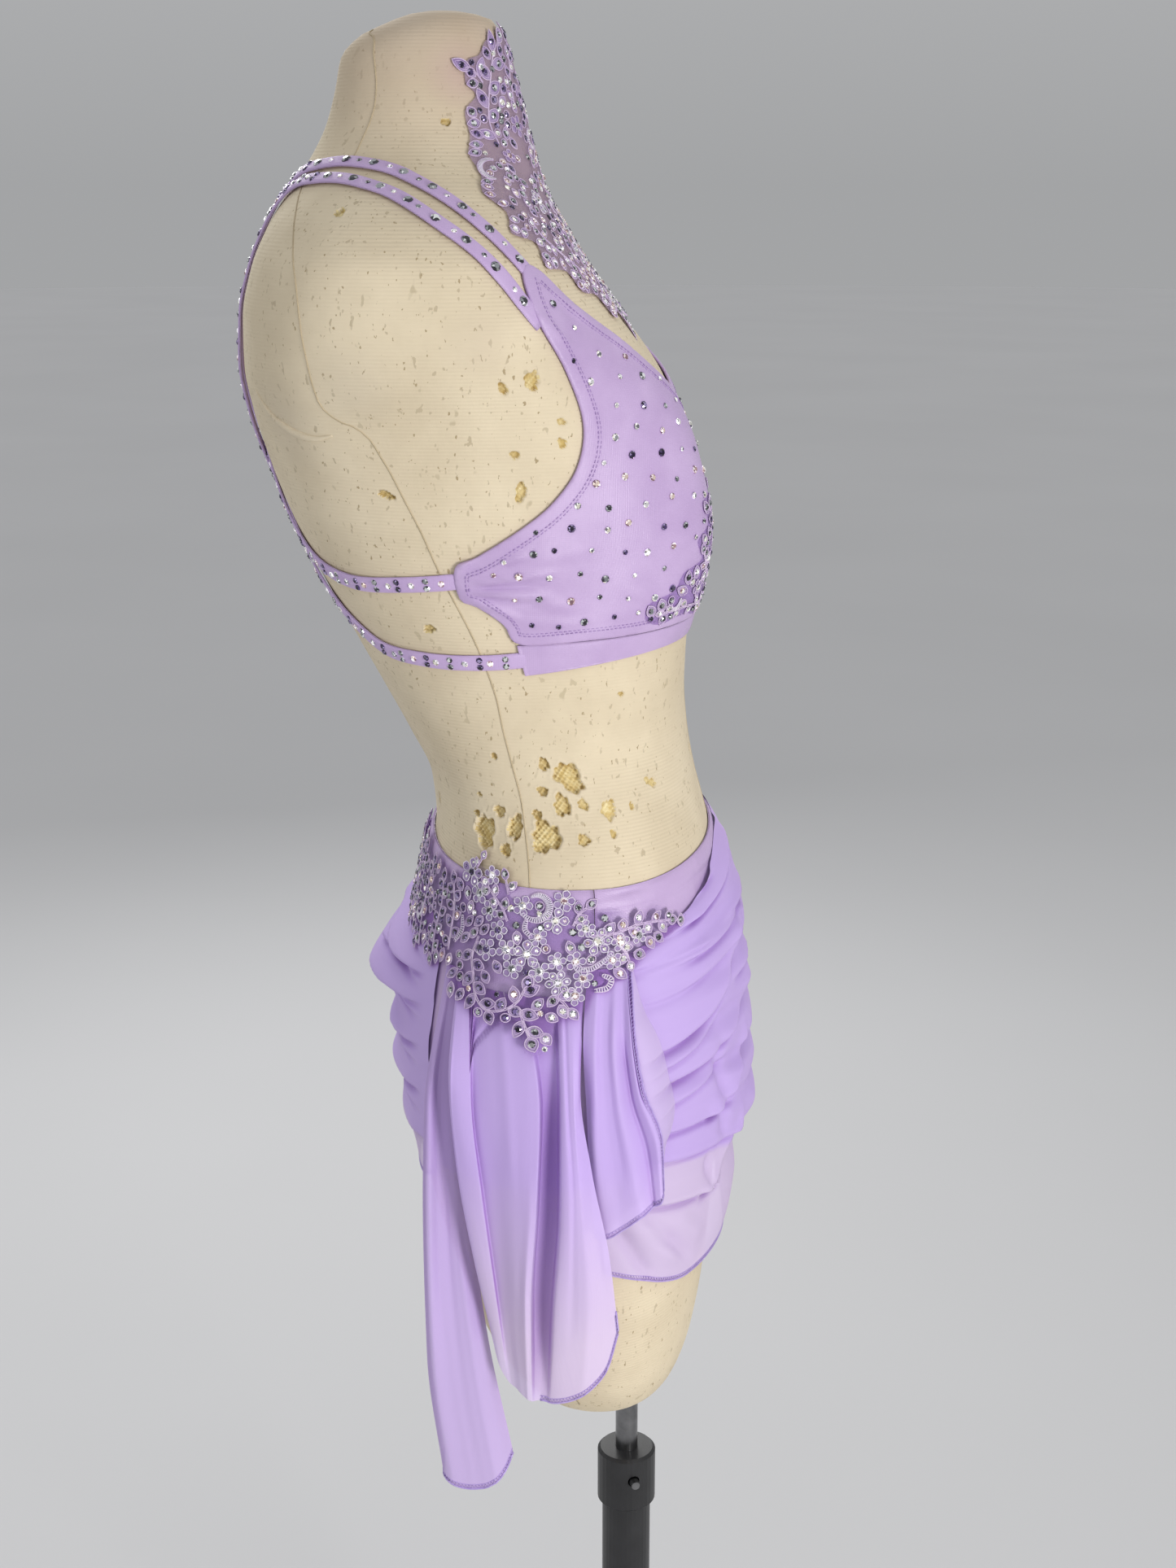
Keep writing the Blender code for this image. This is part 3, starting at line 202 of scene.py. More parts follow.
def loop_gap(points, loop):
    """Distance from flat points to a closed loop."""
    best = np.full(len(points), np.inf)
    for a, b in zip(loop, np.roll(loop, -1, axis=0)):
        along = b - a
        t = np.clip(((points - a) @ along) / (along @ along), 0, 1)
        best = np.minimum(best, np.linalg.norm(points - (a + t[:, None] * along), axis=1))
    return best


def walked(points):
    """How far along a path each of its points is."""
    return np.concatenate([[0], np.cumsum(np.linalg.norm(np.diff(points, axis=0), axis=1))])


def smooth_path(rows, count):
    """Evenly spaced points on a smooth curve through the rows."""
    rows = np.array(rows, float)
    at = walked(rows[:, :2] * FLAT)
    wanted = np.linspace(0, at[-1], count)
    slope = np.gradient(rows, at, axis=0)
    i = np.clip(np.searchsorted(at, wanted, side="right") - 1, 0, len(at) - 2)
    h = at[i + 1] - at[i]
    t = (wanted - at[i]) / h
    return hermite(t[:, None], h[:, None], rows[i], rows[i + 1], slope[i], slope[i + 1])


def smooth_loop(outline, step):
    """A closed smooth curve through an outline of turns and heights, as points of a flat pattern."""
    loop = np.array(outline, float) * FLAT
    count = len(loop)
    dense = []
    for k in range(count):
        a, b, c, d = loop[k - 1], loop[k], loop[(k + 1) % count], loop[(k + 2) % count]
        parts = max(2, int(np.linalg.norm(c - b) / step))
        t = np.arange(parts)[:, None] / parts
        dense.append(
            0.5 * (2 * b + (c - a) * t + (2 * a - 5 * b + 4 * c - d) * t**2 + (3 * b - a - 3 * c + d) * t**3)
        )
    return np.concatenate(dense)


# Bra front: the right half's edge from the centre of the neckline down to the centre of the lower edge
# in (turn, height)
BRA_EDGE = (
    (0, 1.262), (14, 1.267), (28, 1.282), (36.5, 1.298), (44, 1.317), (54, 1.338), (61, 1.358),
    (65.5, 1.359), (66, 1.334), (63, 1.305), (62, 1.276), (65.5, 1.25), (72, 1.23), (80, 1.215),
    (91, 1.199), (97, 1.192), (98.5, 1.173), (95, 1.168), (90, 1.157), (87, 1.1445), (70, 1.1455),
    (53, 1.147), (30, 1.15), (0, 1.152),
)
BAND_TURN = 88.0
BAND_COLUMNS = ("turn", "low", "high")
BAND_ROWS = ((0, 1.1375, 1.1515), (30, 1.1355, 1.1495), (53, 1.1325, 1.1465), (90, 1.124, 1.1435))

# Straps: a row for each place that a shoulder strap passes, from the cup over the shoulder to the other side,
# in (turn, height, lift, over). lift is off the body in millimetres, and over is added on the right one.
STRAP_OUTER = (
    (67.9, 1.342, 0.3, 0), (70, 1.3525, 0.5, 0), (74, 1.367, 0.8, 0), (81, 1.383, 0.8, 0),
    (90, 1.3965, 0.8, 0), (103, 1.4045, 0.8, 0), (121, 1.407, 0.8, 0), (143, 1.4, 0.6, 0),
    (156, 1.378, 0.3, 0), (161, 1.34, 0.2, 0.6), (166, 1.295, 0.2, 2), (172, 1.258, 0.2, 2.5),
    (180, 1.226, 0.2, 2.5), (190, 1.199, 0.2, 2.5), (203, 1.171, 0.2, 0.6), (218, 1.147, 0.2, 0),
    (226, 1.137, 0.2, 0), (244, 1.132, 0.2, 0), (258, 1.132, 0.2, 0), (271.3, 1.134, 0.2, 0),
)
STRAP_INNER = (
    (65.8, 1.364, 0.3, 0), (70, 1.378, 0.6, 0), (77, 1.394, 0.8, 0), (90, 1.4085, 0.8, 0),
    (109, 1.4155, 0.8, 0), (130, 1.415, 0.8, 0), (150, 1.408, 0.6, 0), (163, 1.388, 0.3, 0),
    (167, 1.35, 0.2, 0.6), (172, 1.305, 0.2, 2.2), (180, 1.264, 0.2, 2.5), (189, 1.233, 0.2, 2.5),
    (200, 1.206, 0.2, 2.2), (213, 1.186, 0.2, 0.4), (229, 1.178, 0.2, 0), (248, 1.18, 0.2, 0),
    (260.8, 1.183, 0.2, 0),
)

# Fitted skirt under the drape: top and hem at each turn
SKIRT_COLUMNS = ("turn", "top", "hem")
SKIRT_ROWS = (
    (-86, 1.001, 0.8), (-40, 1.001, 0.786), (0, 1.003, 0.776), (40, 1.001, 0.786), (84.5, 0.996, 0.812),
    (130, 0.998, 0.806), (180, 1.002, 0.796), (230, 1.001, 0.798), (274, 1.001, 0.8),
)
SIDE_SEAMS = (84.5, 274.0)

# Front drape: a row for each line that runs from the right hip round the front to the left side
DRAPE_COLUMNS = ("hip", "groin", "front", "side", "hip_out", "front_out", "side_out")
FRONT_TURNS = {"hip": 78.0, "groin": 60.0, "front": 15.0, "side": -89.9}
FRONT_REACH = 5.0
REACH_START, REACH_END = 0.806, 0.790
HIP_HOLD = 0.12
FRONT_DRAPE = (
    (0.957, 0.972, 0.9985, 1.004, 3, 3, 3), (0.953, 0.967, 0.985, 0.993, 4.2, 7.5, 3.6),
    (0.948, 0.96, 0.974, 0.982, 4.6, 9.5, 5), (0.944, 0.953, 0.962, 0.972, 3.2, 6.5, 3.2),
    (0.939, 0.944, 0.948, 0.96, 4.6, 12.5, 5.5), (0.932, 0.936, 0.936, 0.95, 4.4, 12.5, 5.5),
    (0.926, 0.927, 0.925, 0.94, 3.2, 9, 3.4), (0.917, 0.917, 0.912, 0.928, 4.8, 14.5, 6),
    (0.908, 0.907, 0.9, 0.917, 4.4, 14.5, 5.6), (0.901, 0.898, 0.889, 0.907, 3.2, 10.5, 3.4),
    (0.892, 0.888, 0.876, 0.895, 4.8, 16, 6), (0.884, 0.879, 0.865, 0.885, 4.4, 16, 5.6),
    (0.877, 0.87, 0.854, 0.875, 3.2, 13, 3.4), (0.868, 0.86, 0.845, 0.863, 4.8, 20, 6.2),
    (0.859, 0.851, 0.835, 0.851, 4.4, 21, 5.6), (0.851, 0.843, 0.826, 0.841, 3.4, 18.5, 3.4),
    (0.842, 0.833, 0.814, 0.83, 4.8, 21.5, 6.2), (0.833, 0.822, 0.802, 0.817, 4.6, 18.5, 5.8),
    (0.823, 0.811, 0.79, 0.805, 3.4, 12.5, 3.8), (0.807, 0.795, 0.777, 0.793, 3.2, 11, 3.4),
    (0.792, 0.777, 0.76, 0.782, 4.6, 15, 4.6), (0.773, 0.751, 0.74, 0.771, 4.4, 14, 4.8),
    (0.752, 0.728, 0.72, 0.761, 3.2, 11, 4),
)
# Back drape: a row for each line that runs from the right hip round the back to the left side
BACK_TURNS = {"hip": 124.0, "groin": 140.0, "front": 180.0, "side": 269.8}
BACK_DRAPE = (
    (0.95, 0.968, 0.99, 1.004, 3, 3, 3), (0.947, 0.957, 0.964, 0.988, 3.2, 3.4, 3.8),
    (0.943, 0.948, 0.948, 0.972, 3.4, 3.4, 5.4), (0.94, 0.939, 0.937, 0.956, 3.6, 4, 5),
    (0.935, 0.929, 0.924, 0.942, 3.8, 12, 4.4), (0.928, 0.916, 0.908, 0.928, 4, 21.5, 6.4),
    (0.92, 0.905, 0.895, 0.916, 4, 23, 6), (0.912, 0.895, 0.885, 0.906, 3.2, 12, 3.4),
    (0.902, 0.884, 0.872, 0.894, 3.2, 6.5, 3.4), (0.89, 0.87, 0.856, 0.88, 4.2, 9.5, 5.6),
    (0.878, 0.857, 0.842, 0.866, 4.2, 9.5, 5.4), (0.866, 0.845, 0.83, 0.854, 3.2, 5, 3.4),
    (0.85, 0.829, 0.815, 0.834, 4.2, 7.5, 5.2), (0.834, 0.814, 0.8, 0.81, 3.8, 7, 4.8),
    (0.816, 0.797, 0.784, 0.786, 3.2, 4.5, 3.4), (0.798, 0.78, 0.768, 0.762, 3.8, 6, 4),
)

# Hip cascades: a row for each fold line. It starts at a turn and height on the body, lifted off it, and hangs
# through four places: back is behind the pole's axis and out is to the wearer's right, in millimetres.
TAIL_COLUMNS = (
    "turn", "lift", "back1", "out1", "back2", "out2", "back3", "out3", "back4", "out4", "top", "hem"
)
TAIL_LONG = (
    (121, 3.2, 128, 141, 130, 147, 129, 151, 121, 153, 0.943, 0.618),
    (120, 3.8, 129, 151, 131, 158, 130, 162, 121, 164, 0.943, 0.609),
    (119, 4, 125, 157, 126, 165, 124, 170, 114, 171, 0.943, 0.604),
    (118, 3.4, 121, 153, 121, 161, 116, 169, 105, 172, 0.943, 0.602),
    (117.2, 3.4, 118, 152, 115, 160, 108, 170, 96, 174, 0.943, 0.603),
    (116.4, 3.4, 114, 152, 110, 160, 101, 170, 88, 174, 0.943, 0.607),
    (115.6, 3.6, 110, 152, 105, 158, 95, 168, 81, 171, 0.943, 0.614),
    (115, 3.6, 107, 151, 101, 155, 91, 162, 76, 165, 0.943, 0.624),
)
TAIL_MIDDLE = (
    (115.6, 5.2, 113.2, 160, 109.5, 163, 100.4, 165, 89, 166, 0.936, 0.716),
    (115, 5.4, 111.5, 168, 107.5, 170, 98.5, 172, 87, 172, 0.936, 0.706),
    (113.6, 5.4, 106.3, 171, 99.9, 175, 90.5, 177, 83.5, 177, 0.936, 0.694),
    (112, 5, 99.3, 172, 93.4, 177, 86.1, 178, 79, 179, 0.936, 0.686),
    (110.6, 4, 97.8, 169, 91.4, 174, 84, 176, 76.4, 180, 0.936, 0.683),
    (107.4, 4, 86, 175, 81.4, 180, 77.3, 182, 72, 184, 0.936, 0.681),
    (103.6, 4.6, 73.7, 181, 71.9, 186, 71.1, 188, 68.6, 187, 0.936, 0.679),
    (100.6, 4.8, 62.2, 185, 63.6, 190, 66.4, 192, 65.8, 189, 0.936, 0.678),
    (99.2, 4.6, 57.4, 186, 59.8, 191, 63.6, 192, 63.4, 190, 0.936, 0.677),
    (98, 3.4, 55.2, 177, 57.6, 177, 61, 180, 61, 188, 0.936, 0.676),
    (95.6, 3.2, 50.8, 176, 51.8, 176, 55.6, 179, 57.6, 187, 0.936, 0.676),
    (93, 3.4, 46.6, 177, 46.8, 177, 51, 181, 54.2, 188, 0.936, 0.676),
    (92, 4.8, 44.4, 186, 44.6, 191, 48.6, 193, 51.4, 190, 0.936, 0.676),
    (91, 5.6, 41.1, 188, 38.6, 194, 40.5, 196, 43.3, 193, 0.936, 0.678),
    (89.2, 5.8, 36.6, 188, 32.4, 193, 29, 197, 31.7, 195, 0.936, 0.684),
    (87.6, 5.4, 34, 185, 27.4, 189, 18.6, 193, 17.4, 192, 0.936, 0.698),
    (86.6, 4.4, 32.6, 180, 25.6, 185, 15.2, 188, 9.3, 188, 0.936, 0.724),
)
TAIL_SHORT = (
    (86, 3, 31, 174, 29, 176, 27, 177, 24, 177, 0.952, 0.783),
    (84, 3.8, 25, 177, 24, 180, 22, 180, 16, 180, 0.952, 0.784),
    (82, 3.6, 19, 175, 17, 178, 12, 178, 6, 178, 0.952, 0.789),
    (80, 4.6, 13, 177, 10, 180, 3, 180, -4, 179, 0.952, 0.797),
    (78.6, 5, 7, 174, 3, 175, -7, 175, -12, 174, 0.952, 0.802),
    (77.6, 6.4, 2, 177, -3, 178, -14, 178, -17, 176, 0.952, 0.806),
    (76.8, 6.2, 0, 174, -5.5, 175, -17, 174, -18.5, 172, 0.952, 0.811),
)

# Lace: the edge of each piece in turns and heights
NECK_LACE = (
    (0, 1.497), (12, 1.4935), (24, 1.4945), (32, 1.487), (44, 1.486), (50, 1.478), (60, 1.474), (62, 1.462),
    (56, 1.455), (64, 1.446), (63, 1.432), (66, 1.421), (64, 1.41), (67, 1.4), (62, 1.389), (64, 1.378),
    (57, 1.372), (58, 1.36), (50, 1.356), (48, 1.345), (41, 1.342), (39, 1.33), (31, 1.332), (27, 1.322),
    (18, 1.323), (12, 1.312), (0, 1.309),
)
BRA_LACE = (
    (0, 1.25), (11, 1.252), (19, 1.247), (27, 1.24), (31, 1.226), (38, 1.221), (35, 1.209), (41, 1.199),
    (38, 1.188), (45, 1.181), (47, 1.171), (54, 1.166), (55, 1.156), (50, 1.151), (42, 1.1555),
    (34, 1.1525), (24, 1.1575), (14, 1.1545), (0, 1.1575),
)
HIP_LACE = (
    (205, 0.984), (197, 0.996), (184, 0.988), (176, 0.999), (163, 0.993), (155, 1.003), (144, 0.99),
    (135, 0.998), (126, 0.99), (117, 1.004), (108, 0.998), (103, 0.988), (95, 0.992), (88, 0.984),
    (79, 0.984), (75, 0.975), (70, 0.983), (66, 0.976), (60.5, 0.972), (65, 0.965), (73, 0.957),
    (78, 0.945), (84, 0.942), (87, 0.926), (91.5, 0.923), (93, 0.906), (97, 0.904), (99, 0.921),
    (106, 0.916), (110, 0.926), (116, 0.926), (120, 0.942), (128, 0.934), (134, 0.943), (142, 0.934),
    (150, 0.946), (158, 0.936), (167, 0.948), (176, 0.94), (186, 0.952), (196, 0.95), (203, 0.962),
    (210, 0.972),
)

# Hip lace: how far it stands off the body above the gathers and over them, in millimetres
LIFT_COLUMNS = ("turn", "above", "over")
LIFT_ROWS = (
    (58, 6.9, 7.2), (78, 6.6, 7.2), (86, 3.2, 7.2), (97, 3.2, 6.2), (116, 3.2, 5.8), (126, 5.6, 5.8),
    (212, 5.6, 5.8),
)
GATHERS_TOP, GATHERS_BLEND, GATHERS_FOOT, GATHERS_SLOPE = 0.950, 0.024, 0.942, 0.24
TAILS_START, TAILS_END, TAILS_BLEND = 80.0, 126.0, 4.0


def mirrored(edge):
    """A closed outline from its right half, which starts and ends at the centre."""
    return list(edge) + [(-turn, height) for turn, height in reversed(edge[1:-1])]


def hip_lift(turn, height):
    """The hip lace lies on the fitted skirt above and on the gathered chiffon below."""
    above, over = read(LIFT_ROWS, LIFT_COLUMNS, turn)
    height = np.asarray(height)
    share = np.clip((GATHERS_TOP + GATHERS_BLEND - height) / GATHERS_BLEND, 0, 1)
    on_tails = np.clip((turn - TAILS_START) / TAILS_BLEND, 0, 1)
    on_tails = on_tails * np.clip((TAILS_END - turn) / TAILS_BLEND, 0, 1)
    swell = np.clip(GATHERS_FOOT - height, 0, 1) * GATHERS_SLOPE * on_tails
    return (above + (over - above) * share) * MM + swell


# Shapes
def place(name, points, faces, look, smooth=True):
    """A piece from points and faces that rides on the figure."""
    mesh = bpy.data.meshes.new(name)
    mesh.from_pydata(np.asarray(points).tolist(), [], [tuple(int(k) for k in f) for f in faces])
    mesh.polygons.foreach_set("use_smooth", [smooth] * len(mesh.polygons))
    mesh.update()
    made = bpy.data.objects.new(name, mesh)
    bpy.context.scene.collection.objects.link(made)
    made.data.materials.append(look)
    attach(made, "figure")
    return made


def assigned(made, solid=None):
    """Hides the solid that a piece takes the place of, where one is given, and returns the piece."""
    if solid:
        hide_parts(solid)
    return made


def sheet(name, grid, look):
    """A thin piece from a grid of points."""
    return place(name, grid.reshape(-1, 3), grid_faces(*grid.shape[:2]), look)


def thick(name, inner, outer, look):
    """A closed wall between two grids of points."""
    rows, cols = inner.shape[:2]
    skin = rows * cols
    faces = [*grid_faces(rows, cols), *grid_faces(rows, cols, skin)[:, ::-1]]
    rim = list(range(cols)) + [j * cols + cols - 1 for j in range(1, rows)]
    rim += [(rows - 1) * cols + i for i in range(cols - 2, -1, -1)]
    rim += [j * cols for j in range(rows - 2, 0, -1)]
    faces += [(a, b, b + skin, a + skin) for a, b in zip(rim, rim[1:] + rim[:1])]
    return place(name, np.concatenate([inner.reshape(-1, 3), outer.reshape(-1, 3)]), faces, look)


def unit(v):
    """Directions of unit length."""
    return v / np.maximum(np.linalg.norm(v, axis=-1, keepdims=True), 1e-12)


def sweep(path, radius, sides, closed=False, flat=1.0, out=(0.31, 0.22, 0.92)):
    """Points and faces of a tube along a path. flat squeezes it along out."""
    path = np.asarray(path, float)
    count = len(path)
    ends = np.roll(path, -1, axis=0) - np.roll(path, 1, axis=0) if closed else np.gradient(path, axis=0)
    along = unit(ends)
    side = unit(np.cross(along, np.broadcast_to(out, along.shape)))
    up = unit(np.cross(side, along))
    turn = np.arange(sides) / sides * math.tau
    radius = np.broadcast_to(radius, (count,))[:, None, None]
    ring = side[:, None] * np.cos(turn)[None, :, None] + up[:, None] * (np.sin(turn) * flat)[None, :, None]
    last = (count - 1) * sides
    faces = grid_faces(count, sides, wrap=True).tolist()
    if closed:
        faces += [(last + i, last + (i + 1) % sides, (i + 1) % sides, i) for i in range(sides)]
    else:
        faces += [range(sides)[::-1], range(last, last + sides)]
    return (path[:, None] + ring * radius).reshape(-1, 3), faces


def joined(name, pieces, look):
    """One piece from many (points, faces)."""
    points, faces, first = [], [], 0
    for p, f in pieces:
        points.append(p)
        faces += [tuple(k + first for k in face) for face in f]
        first += len(p)
    return place(name, np.concatenate(points), faces, look)


def along_path(path, step):
    """Points on a path, evenly spaced by about a step."""
    path = np.asarray(path, float)
    walk = walked(path)
    at = np.linspace(0, walk[-1], max(2, int(round(walk[-1] / step)) + 1))
    return np.stack([np.interp(at, walk, values) for values in path.T], -1)


def creases(*rows):
    """Soft troughs and ridges: each row is (turn, height, turn, height, width mm, rise mm)."""

    def rise(turn, height):
        total = np.zeros(np.broadcast(turn, height).shape)
        x, y = np.asarray(turn) * CREASE_SCALE, np.asarray(height) / MM
        for ta, ha, tb, hb, width, up in rows:
            start = np.array([ta * CREASE_SCALE, ha / MM])
            line = np.array([tb * CREASE_SCALE, hb / MM]) - start
            length = np.linalg.norm(line)
            t = ((x - start[0]) * line[0] + (y - start[1]) * line[1]) / length**2
            off = ((x - start[0]) * line[1] - (y - start[1]) * line[0]) / length
            total += up * MM * np.exp(-((off / width) ** 2)) * ease(np.minimum(t + 0.15, 1.15 - t) / 0.4)
        return total

    return rise


def outward(loop):
    """Unit normals of a flat closed loop, all on the same side of it."""
    step = np.roll(loop, -1, axis=0) - np.roll(loop, 1, axis=0)
    return unit(np.stack([-step[:, 1], step[:, 0]], -1))


RIMS = (0.7 * MM, 1.6 * MM)


def patch(name, outline, spacing, edge_step, shape, look):
    """A closed cloth piece cut to an outline of turns and heights. shape gives its inner and outer rise from
    the turn, height and distance to the edge."""
    loop = smooth_loop(outline, edge_step)
    low, high = loop.min(axis=0), loop.max(axis=0)
    fill = np.array([
        (x, y)
        for j, y in enumerate(np.arange(low[1], high[1], spacing * 0.87))
        for x in np.arange(low[0] + (j % 2) * spacing / 2, high[0], spacing)
    ])
    points = [loop]
    for ring in RIMS:
        for sign in (1, -1):
            moved = loop + sign * outward(loop) * ring
            points.append(moved[inside(moved, loop) & (loop_gap(moved, loop) > ring * 0.8)])
    points.append(fill[inside(fill, loop) & (loop_gap(fill, loop) > spacing * 0.55)])
    edges = [(k, (k + 1) % len(loop)) for k in range(len(loop))]
    points = [Vector(p) for p in np.concatenate(points)]
    cut, _, triangles, _, _, _ = delaunay_2d_cdt(points, edges, [], 0, 1e-7)
    cut, triangles = np.array([tuple(p) for p in cut]), np.array(triangles)
    triangles = triangles[inside(cut[triangles].mean(axis=1), loop)]
    used, triangles = np.unique(triangles, return_inverse=True)
    triangles = triangles.reshape(-1, 3)
    turn, height = cut[used, 0] / TURN_SCALE, cut[used, 1]
    inner, outer = shape(turn, height, loop_gap(cut[used], loop))
    count = len(used)
    sides = {(a, b) for t in triangles for a, b in ((t[0], t[1]), (t[1], t[2]), (t[2], t[0]))}
    faces = [*triangles[:, ::-1], *(triangles + count)]
    faces += [(p, q, q + count, p + count) for p, q in sides if (q, p) not in sides]
    points = np.concatenate([off_form(turn, height, inner), off_form(turn, height, outer)])
    return place(name, points, faces, look)


# Materials
def material(name):
    """A new material, its node tree and its shader."""
    made = bpy.data.materials.new(name)
    made.use_nodes = True
    return made, made.node_tree, made.node_tree.nodes["Principled BSDF"]


def node(tree, kind, inputs=(), **settings):
    """A shader node with its settings. Each input is set to a value, or linked to the socket given for it."""
    made = tree.nodes.new("ShaderNode" + kind)
    for key, value in settings.items():
        setattr(made, key, value)
    fed(tree, made, inputs)
    return made


def fed(tree, made, inputs):
    """Sets or links the inputs of a node."""
    for key, value in dict(inputs).items():
        if isinstance(value, bpy.types.NodeSocket):
            tree.links.new(value, made.inputs[key])
        else:
            made.inputs[key].default_value = value


def coords_of(tree, kind="Object"):
    return node(tree, "TexCoord").outputs[kind]


def noise(tree, coords, size, detail):
    """Noise of a size in metres."""
    return node(tree, "TexNoise", {"Scale": 1.0 / size, "Detail": detail, "Vector": coords}).outputs["Fac"]


def share_of(tree, value, none, full, most=1.0):
    """A share that runs from 0 where a value is none to most where it is full."""
    inputs = {"Value": value, "From Min": none, "From Max": full, "To Max": most}
    return node(tree, "MapRange", inputs).outputs[0]


def mixed(tree, share, one, two):
    """A colour that turns from one into two by a share."""
    return node(tree, "MixRGB", {"Fac": share, "Color1": one, "Color2": two}).outputs[0]


def ramp(tree, share, stops, mode="LINEAR"):
    """Colours along a share, from (place, colour) stops."""
    made = node(tree, "ValToRGB", {"Fac": share})
    made.color_ramp.interpolation = mode
    for k, (at, colour) in enumerate(stops):
        stop = made.color_ramp.elements[k] if k < 2 else made.color_ramp.elements.new(at)
        stop.position, stop.color = at, (*colour, 1)
    return made.outputs["Color"]


def bump(tree, height, strength, distance, under=None):
    """The normal of a bump, over another one where it is given."""
    inputs = {"Height": height, "Strength": strength, "Distance": distance}
    return node(tree, "Bump", {**inputs, "Normal": under} if under else inputs).outputs["Normal"]


def weave(tree, coords, bands, strength, distance, coarse):
    """The normal of bands, one for each (axis, spacing), over a coarse noise of (size, depth)."""
    split = node(tree, "SeparateXYZ", {0: coords})
    total = None
    for axis, spacing in bands:
        scaled = node(tree, "Math", {0: split.outputs[axis], 1: math.tau / spacing}, operation="MULTIPLY")
        wave = node(tree, "Math", {0: scaled.outputs[0]}, operation="SINE").outputs[0]
        total = node(tree, "Math", {0: total, 1: wave}).outputs[0] if total else wave
    under = bump(tree, noise(tree, coords, coarse[0], 3.0), 0.5, coarse[1]) if coarse else None
    return bump(tree, total, strength, distance, under)


def mottled(tree, coords, one, two, size):
    """A colour that varies between two by noise of a size in metres."""
    return ramp(tree, noise(tree, coords, size, 4.0), ((0.35, one), (0.7, two)))


def cloth_look(name, one, two, roughness, sheen, bands, strength, distance, size, coarse=None, alpha=1.0):
    """Cloth of two mottled colours with a weave."""
    made, tree, shader = material(name)
    coords = coords_of(tree)
    fed(tree, shader, {
        "Roughness": roughness,
        "Sheen Weight": sheen,
        "Sheen Roughness": 0.4,
        "Sheen Tint": (*[min(1, c * 1.3 + 0.1) for c in two], 1),
        "Alpha": alpha,
        "Normal": weave(tree, coords, bands, strength, distance, coarse),
        "Base Color": mottled(tree, coords, one, two, size),
    })
    return made


def base_of(made):
    """A material's node tree, its shader and the socket that its colour comes from."""
    shader = made.node_tree.nodes["Principled BSDF"]
    return made.node_tree, shader, shader.inputs["Base Color"].links[0].from_socket


def painted_shade_in_hollows(made, deep, reach, low, high, under=None):
    """Paints shade into a material's colour, or the one under it: a deep colour where ambient occlusion finds
    hollows.
    """
    tree, shader, colour = base_of(made)
    shade = node(tree, "AmbientOcclusion", {"Distance": reach}, samples=6)
    occluded_share = share_of(tree, shade.outputs["AO"], high, low)
    fed(tree, shader, {"Base Color": mixed(tree, occluded_share, under or colour, (*deep, 1))})
    return made


def speckled(made, flecks, wear_and_shade):
    """Lays flecks, and spots of wear and painted shade, over a cloth's colour."""
    tree, shader, colour = base_of(made)
    coords = coords_of(tree)
    wide = node(tree, "Mapping", {"Scale": (1.0, 1.0, 0.6), "Vector": coords}).outputs[0]
    for size, threshold, fleck in flecks:
        spots = share_of(tree, noise(tree, wide, size, 2.0), threshold, threshold + 0.03)
        colour = mixed(tree, spots, colour, (*fleck, 1))
    for turn, height, radius, spot_colour, share in wear_and_shade:
        away = node(tree, "VectorMath", {0: coords, 1: tuple(form_xyz(turn, height))}, operation="DISTANCE")
        near = share_of(tree, away.outputs["Value"], radius, radius * 0.2, share)
        colour = mixed(tree, near, colour, (*spot_colour, 1))
    fed(tree, shader, {"Base Color": colour})


def layered(name, upper, lower, level_at, blend, tilt, deep):
    """Chiffon that is violet where it lies double and paler where it is a single layer, lower down. The
    change is at a level, over a blend, and tilts with the depth. Its folds are painted deeper in colour as
    shade, which also stands for the denser colour of the layers in them."""
    made = cloth_look(name, upper, upper, 0.72, 0.35, FINE_WEAVE, 0.12, 0.00008, 0.05, None, 0.9)
    tree = made.node_tree
    split = node(tree, "SeparateXYZ", {0: coords_of(tree)})
    lean = node(tree, "Math", {0: split.outputs[1], 1: -tilt, 2: split.outputs[2]}, operation="MULTIPLY_ADD")
    double = share_of(tree, lean.outputs[0], level_at - blend / 2, level_at + blend / 2)
    return painted_shade_in_hollows(made, deep, 0.014, 0.30, 0.90, mixed(tree, double, (*lower, 1), (*upper, 1)))


def gem_with_painted_glints(name, metallic, glints, *shades):
    """Faceted glass with painted reflections: each facet takes a bright or dark shade from the way that it
    faces, and the brightest facets glow as painted glints.
    """
    made, tree, shader = material(name)
    facing = noise(tree, coords_of(tree, "Normal"), 1 / 5.5, 0.0)
    places = [0.0, *(0.32 + 0.36 * k / (len(shades) - 2) for k in range(len(shades) - 1))]
    fed(tree, shader, {
        "Metallic": metallic,
        "Roughness": 0.07,
        "Coat Weight": 0.6,
        "Coat Roughness": 0.03,
        # Painted reflections in the facets' bright and dark shades, and painted glints where the brightest
        # facets glow
        "Base Color": ramp(tree, facing, zip(places, shades), "CONSTANT"),
        "Emission Color": (1.0, 0.98, 0.97, 1),
        "Emission Strength": share_of(tree, facing, 0.565, 0.60, glints),
    })
    return made


def plain_look(name, colour, dark, roughness, metallic, size, grain):
    """Paint, steel or floor with a fine grain."""
    made, tree, shader = material(name)
    coords = coords_of(tree)
    fed(tree, shader, {
        "Roughness": roughness,
        "Metallic": metallic,
        "Base Color": mottled(tree, coords, colour, dark, size),
        "Normal": bump(tree, noise(tree, coords, grain, 2.0), 0.25, 0.0002),
    })
    return made


